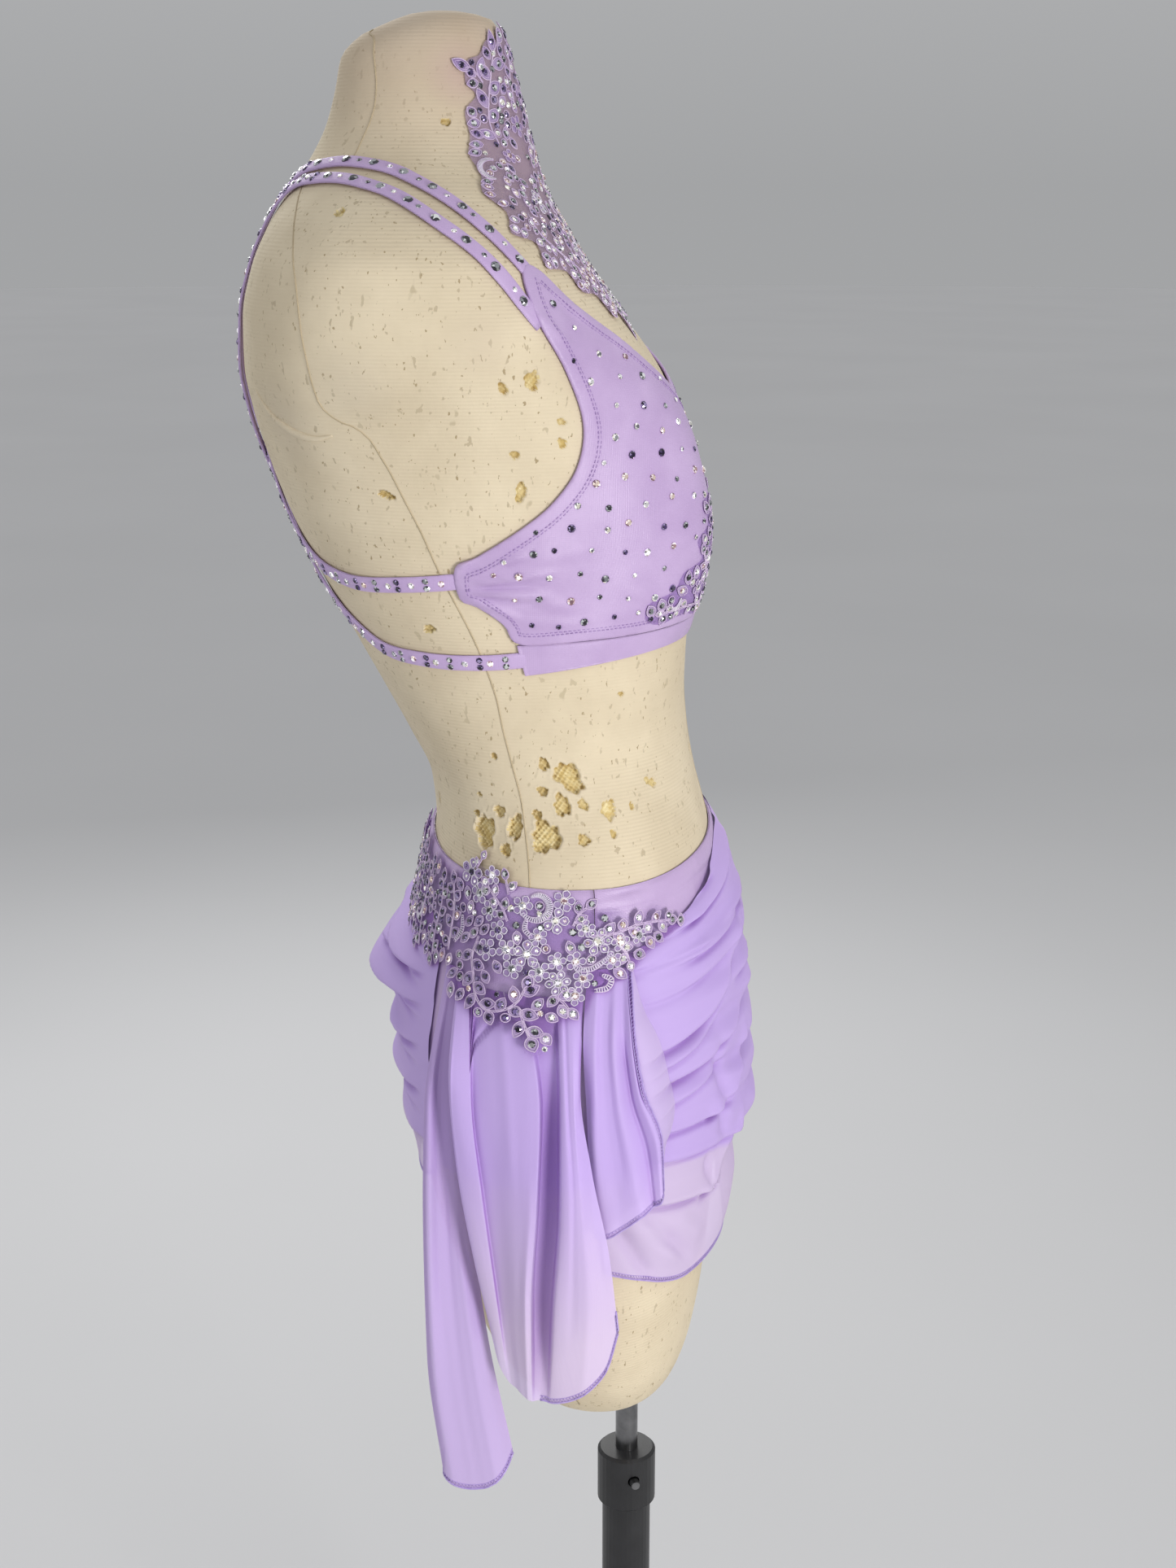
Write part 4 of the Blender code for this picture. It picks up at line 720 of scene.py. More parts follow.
# Weaves: bands of (axis, spacing)
FINE_WEAVE = ((2, 0.0006), (0, 0.0006), (1, 0.0006))
KNIT = ((2, 0.0008), (0, 0.0008), (1, 0.0008))
MESH = ((2, 0.0008), (1, 0.0008))
TWIST = ((2, 0.0009), (0, 0.0009))
CORDED = ((2, 0.0005), (0, 0.0005))

JERSEY = cloth_look(
    "form_jersey", (0.655, 0.555, 0.395), (0.75, 0.645, 0.47), 0.85, 0.12,
    ((2, 0.0021),), 0.28, 0.00025, 0.05, (0.006, 0.0006)
)
# Wear of the jersey and painted shade on it: flecks are (size m, threshold, colour), and spots are (turn,
# height, radius m, colour, share)
FLECKS = (
    (0.0062, 0.69, (0.57, 0.48, 0.33)), (0.0042, 0.668, (0.53, 0.44, 0.3)),
    (0.0026, 0.69, (0.4, 0.31, 0.18)), (0.011, 0.715, (0.56, 0.47, 0.32)),
)
# The first two spots, broad and dark over the top of the form, are painted shade; the third darkens the neck
# beside the lace to mauve; the rest are marks of wear.
SPOTS_OF_WEAR_AND_SHADE = (
    (95, 1.5, 0.105, (0.5, 0.39, 0.29), 0.75), (270, 1.5, 0.105, (0.5, 0.39, 0.29), 0.6),
    (64, 1.468, 0.024, (0.56, 0.41, 0.36), 0.65), (40, 1.49, 0.02, (0.62, 0.5, 0.4), 0.4),
    (105, 1.296, 0.03, (0.6, 0.52, 0.4), 0.35), (128, 1.272, 0.035, (0.62, 0.54, 0.42), 0.35),
    (78, 1.322, 0.025, (0.62, 0.52, 0.4), 0.3), (100, 1.492, 0.03, (0.62, 0.52, 0.4), 0.45),
    (236, 1.3, 0.03, (0.6, 0.52, 0.4), 0.3), (300, 1.47, 0.022, (0.62, 0.5, 0.42), 0.4),
)
speckled(JERSEY, FLECKS, SPOTS_OF_WEAR_AND_SHADE)
FOAM = cloth_look(
    "form_foam", (0.66, 0.50, 0.20), (0.90, 0.79, 0.48), 0.95, 0.05, ((1, 0.0031),), 0.15, 0.0003, 0.004
)
# Painted shade: the bare foam turns brown where the torn spots are hollow.
painted_shade_in_hollows(FOAM, (0.34, 0.22, 0.07), 0.006, 0.35, 0.85)
SEAM = cloth_look(
    "form_seam", (0.47, 0.385, 0.25), (0.55, 0.45, 0.30), 0.9, 0.05, ((2, 0.0012),), 0.3, 0.0002, 0.01
)
LYCRA = cloth_look(
    "lilac_spandex", (0.50, 0.36, 0.61), (0.57, 0.425, 0.68), 0.37, 0.38,
    KNIT, 0.22, 0.00012, 0.03, (0.004, 0.0002)
)
# Painted shade: the spandex turns deep violet in its creases, under the lace and round the stones.
painted_shade_in_hollows(LYCRA, (0.33, 0.20, 0.47), 0.005, 0.30, 0.92)
BINDING = cloth_look(
    "lilac_strap", (0.54, 0.39, 0.66), (0.58, 0.43, 0.70), 0.5, 0.3, MESH, 0.25, 0.00012, 0.02
)
# Chiffon: violet where it lies double, pale where single, and a deep colour painted into its folds as shade,
# also standing for the layers there
VIOLET, PALE, FOLD_LAYERS_AND_SHADE = (0.585, 0.43, 0.84), (0.675, 0.55, 0.79), (0.29, 0.125, 0.47)
DRAPE_LOOKS = {
    "front": layered("drape_chiffon", VIOLET, PALE, 0.831, 0.004, 0.5, FOLD_LAYERS_AND_SHADE),
    "back": layered("back_chiffon", VIOLET, PALE, 0.831, 0.004, -0.12, FOLD_LAYERS_AND_SHADE),
}
TAIL_LOOK = layered("tail_chiffon", VIOLET, PALE, 0.775, 0.11, 0.0, FOLD_LAYERS_AND_SHADE)
TURNED_LOOK = layered("turned_chiffon", (0.64, 0.50, 0.83), PALE, 0.775, 0.11, 0.0, FOLD_LAYERS_AND_SHADE)
# The long cascade's chiffon is a darker copy of the others: painted shade on the cascade that hangs at the
# back.
LONG_SHADED_LOOK = layered("long_tail_shaded_chiffon", (0.50, 0.36, 0.70), (0.56, 0.42, 0.74), 0.70, 0.30, 0.0, FOLD_LAYERS_AND_SHADE)
THREAD = cloth_look(
    "hem_thread", (0.40, 0.29, 0.64), (0.52, 0.40, 0.76), 0.55, 0.2, TWIST, 0.3, 0.0001, 0.004
)
STITCHING = cloth_look(
    "seam_thread", (0.36, 0.24, 0.50), (0.44, 0.31, 0.58), 0.55, 0.2, TWIST, 0.3, 0.0001, 0.01
)
CORD = cloth_look(
    "lace_cord", (0.60, 0.45, 0.70), (0.76, 0.62, 0.82), 0.38, 0.35, CORDED, 0.5, 0.00012, 0.012
)
SILVER = cloth_look(
    "lace_silver", (0.70, 0.63, 0.79), (0.90, 0.84, 0.93), 0.3, 0.35, CORDED, 0.5, 0.00012, 0.012
)
SATIN = cloth_look(
    "lace_satin", (0.33, 0.22, 0.47), (0.48, 0.36, 0.62), 0.34, 0.4,
    ((1, 0.00045), (2, 0.0007)), 0.6, 0.00015, 0.01
)
NET = cloth_look(
    "lace_net", (0.46, 0.34, 0.66), (0.52, 0.40, 0.74), 0.8, 0.2, MESH, 0.3, 0.0001, 0.02, None, 0.06
)
NECK_NET = cloth_look(
    "neck_net", (0.42, 0.30, 0.44), (0.52, 0.38, 0.54), 0.8, 0.2, MESH, 0.3, 0.0001, 0.02, None, 0.42
)
# Stones: the real tone of each kind, spread over painted bright and dark facet reflections, with painted
# glints that glow
GEMS = {
    "clear": gem_with_painted_glints(
        "gem_clear", 0.7, 0.5, (0.45, 0.47, 0.50), (0.97, 0.97, 0.96), (0.22, 0.22, 0.25), (0.98, 0.94, 0.80),
        (0.72, 0.66, 0.82), (1.0, 1.0, 1.0)
    ),
    "grey": gem_with_painted_glints(
        "gem_grey", 0.75, 0.16, (0.06, 0.06, 0.07), (0.34, 0.36, 0.38), (0.05, 0.05, 0.06),
        (0.72, 0.75, 0.76), (0.16, 0.17, 0.18)
    ),
    "violet": gem_with_painted_glints(
        "gem_violet", 0.6, 0.05, (0.02, 0.012, 0.045), (0.10, 0.06, 0.20), (0.02, 0.015, 0.03),
        (0.38, 0.30, 0.56), (0.04, 0.025, 0.08)
    ),
    "rose": gem_with_painted_glints(
        "gem_rose", 0.65, 0.4, (0.62, 0.40, 0.40), (0.97, 0.80, 0.68), (0.34, 0.20, 0.24), (0.95, 0.92, 0.90),
        (0.75, 0.60, 0.74)
    ),
}
STAND_BLACK = plain_look("stand_black", (0.012, 0.012, 0.013), (0.02, 0.02, 0.022), 0.4, 0.0, 0.02, 0.0012)
# The pole's steel is far darker than bare steel: a painted dark reflection.
DARKENED_POLE_STEEL = plain_look("pole_steel", (0.17, 0.17, 0.175), (0.25, 0.25, 0.255), 0.28, 1.0, 0.01, 0.0008)
FLOOR = plain_look("floor", (0.60, 0.60, 0.605), (0.62, 0.62, 0.625), 0.85, 0.0, 1.5, 0.01)

# Dress form, with the torn spots in its cover: turn, height, width and height in mm, lean in degrees and
# depth in mm
TORN = (
    (84.5, 1.06, 15, 17, 20, 2.6), (114, 1.024, 15, 19, -15, 2.8), (95, 1.026, 17, 16, 40, 2.8),
    (103.5, 1.03, 8.5, 15, -25, 2.4), (89, 1.044, 9, 12.5, -10, 2.2), (90.5, 1.068, 5.5, 8, -20, 1.8),
    (93.5, 1.052, 6, 5.5, 0, 1.8), (83, 1.044, 5.5, 6.5, 30, 1.4), (76, 1.04, 8.5, 11.5, -20, 1.4),
    (68.5, 1.04, 2.8, 5, 0, 1), (114.5, 1.046, 3.6, 2.8, 0, 1.2), (96.5, 1.038, 5, 6.5, 30, 1.8),
    (108, 1.038, 7.5, 6.5, 10, 1.8), (116.5, 1.034, 4.6, 3.4, 0, 1.4), (107, 1.016, 7, 7, 0, 2),
    (98, 1.02, 3.6, 6.5, 15, 1.6), (85, 1.024, 7, 6.5, 20, 1.8), (76.5, 1.026, 3.6, 5, 0, 1),
    (57.5, 1.05, 6.5, 5, 30, 1.2), (144, 1.03, 5, 7, 0, 1.4), (105, 1.072, 3.8, 3.8, 0, 1.4),
    (70, 1.3, 8, 11, -30, 2), (76, 1.296, 4.6, 7, 10, 1.8), (107.5, 1.234, 9, 4.6, -15, 1.8),
    (78, 1.236, 5, 13, -25, 1.6), (77, 1.258, 5.5, 4, 0, 1.4), (75, 1.44, 6, 3.6, 0, 1.4),
    (104.5, 1.39, 6.5, 4, 0, 1.4), (110.5, 1.152, 8, 4.6, 20, 1.6), (66, 1.276, 5, 4, 0, 1.2),
    (67, 1.264, 4.6, 6, 0, 1.2), (61, 1.108, 4, 3, 0, 1), (59.5, 1.052, 4, 4.6, 0, 1),
    (193, 1.108, 7, 9, 15, 1.8), (168, 1.046, 6, 5, 0, 1.4), (214, 1.036, 9, 7, 30, 2),
    (186, 1.342, 5, 7, -20, 1.4), (231, 1.27, 6, 4.6, 0, 1.4), (262, 1.034, 12, 14, 20, 2.4),
    (271, 1.052, 7, 6, 0, 1.8), (255, 1.056, 5, 8, -20, 1.6), (278, 1.03, 5.5, 7, 0, 1.6),
    (290, 1.28, 6, 9, 25, 1.6), (254, 1.226, 7, 4, 0, 1.6), (268, 1.386, 5, 4, 0, 1.2),
    (312, 1.068, 6, 8, 0, 1.4), (338, 1.084, 5, 4, 0, 1.2), (14, 1.052, 5, 6.5, 20, 1.2),
)
# Waves of a torn edge: height, count round it and phase
TORN_WAVES = ((0.11, 3, 1.0), (0.09, 5, 2.1), (0.08, 8, 3.7))
# Cells of the form's grid round a torn spot are cut into FINE by FINE
FINE = 6
FORM_TURNS = 200
# Levels of the grid, sparser where the skirt hides it: from, to and count
FORM_PARTS = (
    (FORM_ROWS[0][0], 0.66, 16), (0.665, 0.81, 33), (0.823, 0.965, 12), (0.975, FORM_ROWS[-1][0], 120)
)
FOOT_RIM, FOOT_RISE = 8.6 * MM, 1.5 * MM
# Crescent of slack cover at each shoulder blade
CRESCENT = (
    (138.5, 1.29), (136.5, 1.2835), (133.5, 1.2765), (129, 1.2705), (124, 1.2665), (119.5, 1.2655),
    (114.5, 1.268),
)
CRESCENT_RISE = 2.6 * MM
# Seams of the cover: shoulder blade to neck, and shoulder down the side. Both are on the right and left.
FORM_SEAMS = (
    ((146, 1.493), (120, 1.476), (117.5, 1.45), (119, 1.434), (117, 1.42)),
    ((138, 1.408), (129.5, 1.4), (118, 1.383), (112.5, 1.362), (111.5, 1.34), (112.5, 1.318), (113.6,
     1.296), (113.6, 1.283), (111, 1.2765), (108, 1.2735), (106.3, 1.269), (105, 1.256), (103.6, 1.232),
     (102.4, 1.212), (101.6, 1.19), (100.5, 1.17), (99.5, 1.156), (98.5, 1.134), (98.3, 1.112), (99.5,
     1.085), (100.5, 1.05), (100.5, 1.01), (98, 0.94), (95, 0.85), (94, 0.74), (94, 0.64)),
)
SEAM_RADIUS = 0.5 * MM


def mm_per(turn, height):
    """Millimetres along the body for one degree of turn, and for one millimetre of height."""
    across = form_xyz(turn + 0.5, height) - form_xyz(turn - 0.5, height)
    up = form_xyz(turn, height + MM) - form_xyz(turn, height - MM)
    return np.linalg.norm(across) / MM, np.linalg.norm(up) / (2 * MM)


def torn(turn, height):
    """How far the cover is torn away at each place, from 0 to 1, and how far the surface sinks, in metres."""
    gone, sink = np.zeros(np.shape(turn)), np.zeros(np.shape(turn))
    for k, (at, middle, wide, tall, lean, depth) in enumerate(TORN):
        right, up = (turn - at) * mm_per(at, middle)[0], (height - middle) / MM
        near = np.hypot(right, up) < max(wide, tall) * 1.2
        if not near.any():
            continue
        right, up = right[near], up[near]
        c, s = math.cos(math.radians(lean)), math.sin(math.radians(lean))
        x, y = (right * c - up * s) * 2 / wide, (right * s + up * c) * 2 / tall
        around = np.arctan2(y, x)
        ragged = sum((high * np.sin(count * around + phase * k) for high, count, phase in TORN_WAVES), 1)
        q = np.hypot(x, y) / ragged
        share = ease((1.1 - q) / 0.14)
        uneven = 1 + 0.25 * np.sin(right * 1.7 + k) * np.sin(up * 1.9 + 2 * k)
        lip = 0.35 * np.exp(-(((q - 1.22) / 0.14) ** 2))
        gone[near] = np.maximum(gone[near], share)
        sink[near] = sink[near] * (share < 0.01) - (1.35 * depth * share * uneven - lip) * MM
    return gone, sink


def build_form():
    """The form's cover with its torn spots, its seams and its slack."""
    count = FORM_TURNS
    turns = np.linspace(0, 360, count, endpoint=False)
    heights = np.concatenate([np.linspace(*part) for part in FORM_PARTS])
    grid = off_form(turns[None, :], heights[:, None], 0.0)
    opened = np.zeros((len(heights) - 1, count), bool)
    for at, middle, wide, tall, _, _ in TORN:
        reach = max(wide, tall) * 0.5 * 1.55
        across = np.abs(turns + 0.9 - at) * mm_per(at, middle)[0] < reach + 2.4
        up = np.abs((heights[:-1] + heights[1:]) / 2 - middle) < (reach + 2.2) * MM
        opened |= up[:, None] & across[None, :]
    faces = list(grid_faces(len(heights), count, wrap=True)[~opened.reshape(-1), ::-1])
    fine, patches = {}, []
    for j, i in np.argwhere(opened) * FINE:
        for b in range(j, j + FINE):
            for a in range(i, i + FINE):
                corners = ((a, b), (a + 1, b), (a + 1, b + 1), (a, b + 1))
                patches.append([fine.setdefault(spot, len(fine)) for spot in corners][::-1])
    spots = np.array(list(fine), float) / FINE
    turn, height = spots[:, 0] * 360.0 / count, np.interp(spots[:, 1], np.arange(len(heights)), heights)
    gone, sink = torn(turn, height)
    points = [grid.reshape(-1, 3), off_form(turn, height, sink)]
    whole = len(faces)
    faces += list(np.array(patches) + grid.size // 3)
    bare = [whole + n for n, face in enumerate(patches) if gone[face].mean() > 0.45]

    around = np.radians(turns)
    foot = np.full(count, FORM_FOOT + FOOT_RISE)
    hole = np.stack([-np.sin(around) * FOOT_RIM, -np.cos(around) * FOOT_RIM, foot], -1)
    rings = [hole]
    for share in (0.4, 0.75):
        step = hole * (1 - share) + grid[0] * share
        step[:, 2] = FORM_FOOT + (grid[0, 0, 2] - FORM_FOOT) * (0.12 + share**2 * 0.6)
        rings.append(step)
    first = sum(len(p) for p in points)
    last = first + 2 * count
    points += rings
    faces += list(grid_faces(3, count, first, wrap=True)[:, ::-1])
    faces += [(last + i, i, (i + 1) % count, last + (i + 1) % count)[::-1] for i in range(count)]
    top, middle = (len(heights) - 1) * count, grid[-1].mean(axis=0)
    first = last + count
    tip = first + 2 * count
    for share, rise in ((0.72, 0.55), (0.4, 0.88)):
        step = grid[-1] * share + middle * (1 - share)
        step[:, 2] = grid[-1, 0, 2] + (FORM_TOP - grid[-1, 0, 2]) * rise
        points.append(step)
    faces += [
        (top + i, top + (i + 1) % count, first + (i + 1) % count, first + i)[::-1] for i in range(count)
    ]
    faces += list(grid_faces(2, count, first, wrap=True)[:, ::-1])
    points.append([(middle[0], middle[1], FORM_TOP)])
    faces += [(first + count + i, tip, first + count + (i + 1) % count) for i in range(count)]
    made = place("form_cover", np.concatenate(points), faces, JERSEY)
    made.data.materials.append(FOAM)
    for index in bare:
        made.data.polygons[index].material_index = 1
    assigned(made, "dress_form")
    pieces = []
    for run in FORM_SEAMS:
        for side in (1, -1):
            path = smooth_path([(side * t, h) for t, h in run], 160)
            pieces.append(sweep(form_xyz(path[:, 0], path[:, 1]), SEAM_RADIUS, 5))
    for turn in (0.0, 180.0):
        pieces.append(sweep(off_form(turn, np.linspace(0.63, 1.47, 200), -0.1 * MM), SEAM_RADIUS, 5))
    assigned(joined("form_seams", pieces, SEAM))
    pieces = []
    for side in (1, -1):
        path = smooth_path([(side * t, h) for t, h in CRESCENT], 90)
        swell = CRESCENT_RISE * np.sin(np.linspace(0.03, 0.97, 90) * math.pi) ** 0.7
        spine = off_form(path[:, 0], path[:, 1], -0.08 * swell)
        pieces.append(sweep(spine, swell, 10, False, 0.9, form_normal(path[:, 0], path[:, 1])))
    assigned(joined("form_cover_fold", pieces, JERSEY))


# Crop top
STITCH_ROWS = (6.2 * MM, 7.6 * MM)
STITCH, STITCH_GAP, STITCH_RADIUS, STITCH_STEP = 2.4 * MM, 1.2 * MM, 0.30 * MM, 0.4 * MM
CUP_SPACING, CUP_EDGE_STEP = 2.4 * MM, 2.5 * MM
BRA_CREASES = creases(
    (97.5, 1.185, 80, 1.201, 2.2, 2.4), (97.5, 1.1815, 76, 1.189, 2, 2.4),
    (97.5, 1.178, 78, 1.1755, 2.1, 2.2), (97.5, 1.188, 87, 1.211, 1.9, 1.8), (97, 1.175, 86, 1.162, 2, 1.8),
    (95, 1.1905, 80, 1.196, 1.7, -1.5), (95, 1.18, 79, 1.1815, 1.7, -1.5),
    (94, 1.1745, 80, 1.169, 1.7, -1.4), (96, 1.178, 72, 1.167, 4, 1), (92, 1.188, 66, 1.204, 5, 1),
    (88, 1.16, 70, 1.156, 3.5, 0.8), (66, 1.336, 60, 1.316, 2.4, 1.1), (64, 1.352, 52, 1.328, 2.8, 1),
    (61, 1.35, 57, 1.33, 2, -0.7), (46, 1.16, 60, 1.176, 4, 0.8), (36, 1.156, 44, 1.176, 4, 0.7),
    (16, 1.158, 22, 1.19, 4.5, 0.9), (20, 1.262, 10, 1.236, 4.5, 0.8),
)


def stitched(run, distance):
    """Short raised stitches along a run of places at a distance from the cup's edge."""
    out = bra_out(run[:, 0], run[:, 1], np.full(len(run), distance)) + 0.05 * MM
    fine = along_path(off_form(run[:, 0], run[:, 1], out), STITCH_STEP)
    per = max(2, int(STITCH / STITCH_STEP))
    skip = per + max(1, int(STITCH_GAP / STITCH_STEP))
    starts = range(0, len(fine) - per, skip)
    return [sweep(fine[k : k + per + 1 : per // 2], STITCH_RADIUS, 4) for k in starts]


def inset(outline, distance):
    """A loop moved inward by a distance, as turns and heights, and where it is clear of the edge."""
    loop = smooth_loop(outline, 0.003)
    normal = outward(loop)
    moved = loop + normal * distance
    if not inside(moved, loop).mean() > 0.5:
        moved = loop - normal * distance
    return moved / FLAT, inside(moved, loop) & (loop_gap(moved, loop) > distance * 0.9)


def bra_out(turn, height, edge):
    """Rise of the cup's outer face: the cloth, its creases and the turned edge."""
    hem_rise = 0.45 * MM * np.clip((7.2 * MM - edge) / (0.9 * MM), 0, 1)
    round_off = 0.7 * MM * np.clip(1 - edge / (1.2 * MM), 0, 1) ** 2
    return CUP_GAP + SPANDEX + 0.1 * MM + BRA_CREASES(np.abs(turn), height) + hem_rise - round_off


def bra_face(turn, height):
    """Rise of the cup's outer face inside its turned edge, where the lace and the stones lie."""
    return bra_out(turn, height, np.full(np.shape(turn), 0.05))


def build_top():
    """The cups cut in one with their coverstitching, and the band under them."""
    edge = mirrored(BRA_EDGE)
    cup = patch(
        "crop_top_front", edge, CUP_SPACING, CUP_EDGE_STEP,
        lambda turn, height, far: (np.full(turn.shape, CUP_GAP) - 0.2 * MM, bra_out(turn, height, far)), LYCRA
    )
    assigned(cup, "bra_front")
    pieces = []
    for distance in STITCH_ROWS:
        moved, good = inset(edge, distance)
        start = int(np.argmin(good))
        moved, good = np.roll(moved, -start, axis=0), np.roll(good, -start)
        cuts = np.flatnonzero(good[1:] != good[:-1]) + 1
        for run, clear in zip(np.split(moved, cuts), np.split(good, cuts)):
            if clear[0] and len(run) > 6:
                pieces += stitched(run, distance)
    sewing = assigned(joined("crop_top_stitches", pieces, STITCHING))
    turn = np.linspace(-BAND_TURN, BAND_TURN, 140)
    low, high = read(BAND_ROWS, BAND_COLUMNS, np.abs(turn))
    share = np.linspace(0, 1, 13)[:, None]
    height = high + (low - high) * share
    turns = np.broadcast_to(turn, height.shape)
    belly = 0.5 * MM * (1 - (2 * share - 1) ** 4) - 0.2 * MM
    ripple = 0.12 * MM * np.sin(turns * 3.1 + 1.7 * np.sin(turns * 0.9)) * (1 - (2 * share - 1) ** 2)
    inner = off_form(turns, height, np.full(height.shape, BODY_GAP))
    outer = off_form(turns, height, BODY_GAP + SPANDEX + belly + ripple)
    band = assigned(thick("crop_top_band", inner, outer, LYCRA), "bra_band")


# Straps: their first and last places, past the seams, and their section in shares of half width and thickness
STRAP_ENDS = {
    "outer": ((65.2, 1.3300, -0.5, 0.0), (275.0, 1.1348, -0.5, 0.0)),
    "inner": ((62.6, 1.3530, -0.5, 0.0), (265.0, 1.1840, -0.3, 0.0)),
}
STRAP_HALF, STRAP_THICK = 5 * MM, 1.55 * MM
STRAP_SECTION = (
    (-1, 0.25), (-0.94, 0.75), (-0.8, 1.0), (-0.5, 1.05), (-0.2, 1.06), (0, 1.06), (0.2, 1.06), (0.5, 1.05),
    (0.8, 1.0), (0.94, 0.75), (1, 0.25)
)


def build_straps():
    """The four straps, and the outer faces of them all."""
    faces = []
    for name, rows in (("outer", STRAP_OUTER), ("inner", STRAP_INNER)):
        first, last = STRAP_ENDS[name]
        for side in ("right", "left"):
            right = side == "right"
            path = smooth_path([
                (turn if right else 360.0 - turn, height, (lift + over * right) * MM)
                for turn, height, lift, over in (first, *rows, last)
            ], 200)
            centre = off_form(path[:, 0], path[:, 1], BODY_GAP + path[:, 2])
            across = unit(np.cross(unit(np.gradient(centre, axis=0)), form_normal(path[:, 0], path[:, 1])))
            seats = [
                [seat(spot + aside * offset * STRAP_HALF, BODY_GAP + lift) for offset, _ in STRAP_SECTION]
                for spot, aside, lift in zip(centre, across, path[:, 2])
            ]
            low, normal = np.array(seats).transpose(2, 0, 1, 3)
            high = low + normal * np.array([rise for _, rise in STRAP_SECTION])[:, None] * STRAP_THICK
            made = thick("strap_%s_%s_cloth" % (side, name), low, high, BINDING)
            assigned(made, "strap_%s_%s" % (side, name))
            faces.append(high)
    return faces


# Fitted skirt
SKIRT_CREASES = creases(
    (84, 0.99, 62, 0.999, 1.7, -0.55), (84, 0.993, 68, 0.993, 1.5, -0.45), (80, 0.986, 66, 0.985, 3, 0.4),
    (276, 0.99, 296, 0.996, 1.8, -0.5),
)


def build_skirt():
    """The fitted skirt's front and back, with the waist casing."""
    right, left = SIDE_SEAMS
    for name, start, end in (("front", left - 359.9, right - 0.1), ("back", right + 0.1, left - 0.1)):
        turn = np.linspace(start, end, 150)
        top, hem_at = read(SKIRT_ROWS, SKIRT_COLUMNS, turn)
        down = np.concatenate([np.linspace(0, 0.09, 22), np.linspace(0.1, 1, 28)])[:, None]
        height = top + (hem_at - top) * down
        turns = np.broadcast_to(turn, height.shape)
        drop = top - height
        casing = 0.9 * MM * np.exp(-(((drop - 6 * MM) / (4.5 * MM)) ** 4))
        groove = -0.35 * MM * np.exp(-(((drop - 12.5 * MM) / (1.0 * MM)) ** 2))
        tiny = 0.25 * MM * np.sin(turns * 2.2 + 3 * np.sin(turns * 0.31)) * np.exp(-drop / (14 * MM))
        end_round = -0.7 * MM * np.clip(1 - drop / (1.2 * MM), 0, 1) ** 2
        wrinkles = SKIRT_CREASES(turns % 360, height)
        inner = off_form(turns, height, np.full(height.shape, BODY_GAP - 0.2 * MM))
        out = BODY_GAP + SPANDEX - 0.1 * MM + casing + groove + tiny + end_round + wrinkles
        outer = off_form(turns, height, out)
        made = assigned(thick("fitted_skirt_" + name, inner, outer, LYCRA), "skirt_" + name)


# Chiffon
def drape_grid(lines, turns, reach, across_count, down_count, fine):
    """A drape's points, from a table of lines that run round the hips."""
    order = ("hip", "groin", "front", "side")
    sign = 1 if turns["hip"] < turns["side"] else -1
    knots = sign * np.array([turns[k] for k in order])
    across = np.linspace(knots[0], knots[-1], across_count)
    heights, outs, lows = [], [], []
    for row in lines:
        row = dict(zip(DRAPE_COLUMNS, row))
        lows.append(np.clip((REACH_START - row["hip"]) / (REACH_START - REACH_END), 0, 1))
        near = row["hip_out"] + HIP_HOLD * (row["front_out"] - row["hip_out"])
        heights.append(track(across, knots, np.array([row[k] for k in order])))
        out = np.array([row["hip_out"], near, row["front_out"], row["side_out"]])
        outs.append(track(across, knots, out) * MM)
    index = np.arange(len(lines), dtype=float)
    down = np.linspace(0, len(lines) - 1, down_count)
    height, out = (
        np.stack([track(down, index, line) for line in np.transpose(made)], 1) for made in (heights, outs)
    )
    share = np.clip((knots[1] - across) / (knots[1] - knots[0]), 0, 1)
    turn = sign * (across - share * np.interp(down, index, lows)[:, None] * reach)
    return off_form(turn, height, out + fine(turn, height))


FOLD_RISE = 1.3 * MM


def folds(*rows):
    """Curved folds: each row is (turn, height, turn, height, bend, width mm, rise). A fold swells above its
    line and drops sharply under it."""

    def rise(turn, height):
        total = np.zeros(np.broadcast(turn, height).shape)
        for ta, ha, tb, hb, bend, width, up in rows:
            t = (turn - ta) / (tb - ta)
            along = np.clip(t, 0.001, 1)
            slope = abs((hb - ha) * bend * along ** (bend - 1) / (tb - ta)) / MM / CREASE_SCALE
            off = (height - ha - (hb - ha) * along**bend) / MM / np.sqrt(1 + slope**2)
            reach = np.where(off > 0, width, width * 0.16)
            groove = 0.62 * np.exp(-(((off + 0.34 * width) / (0.20 * width + 0.5)) ** 2))
            ends = ease(np.minimum(t, 1 - t) / 0.17)
            total += FOLD_RISE * up * (np.exp(-((off / reach) ** 2)) - groove) * ends
        return total

    return rise


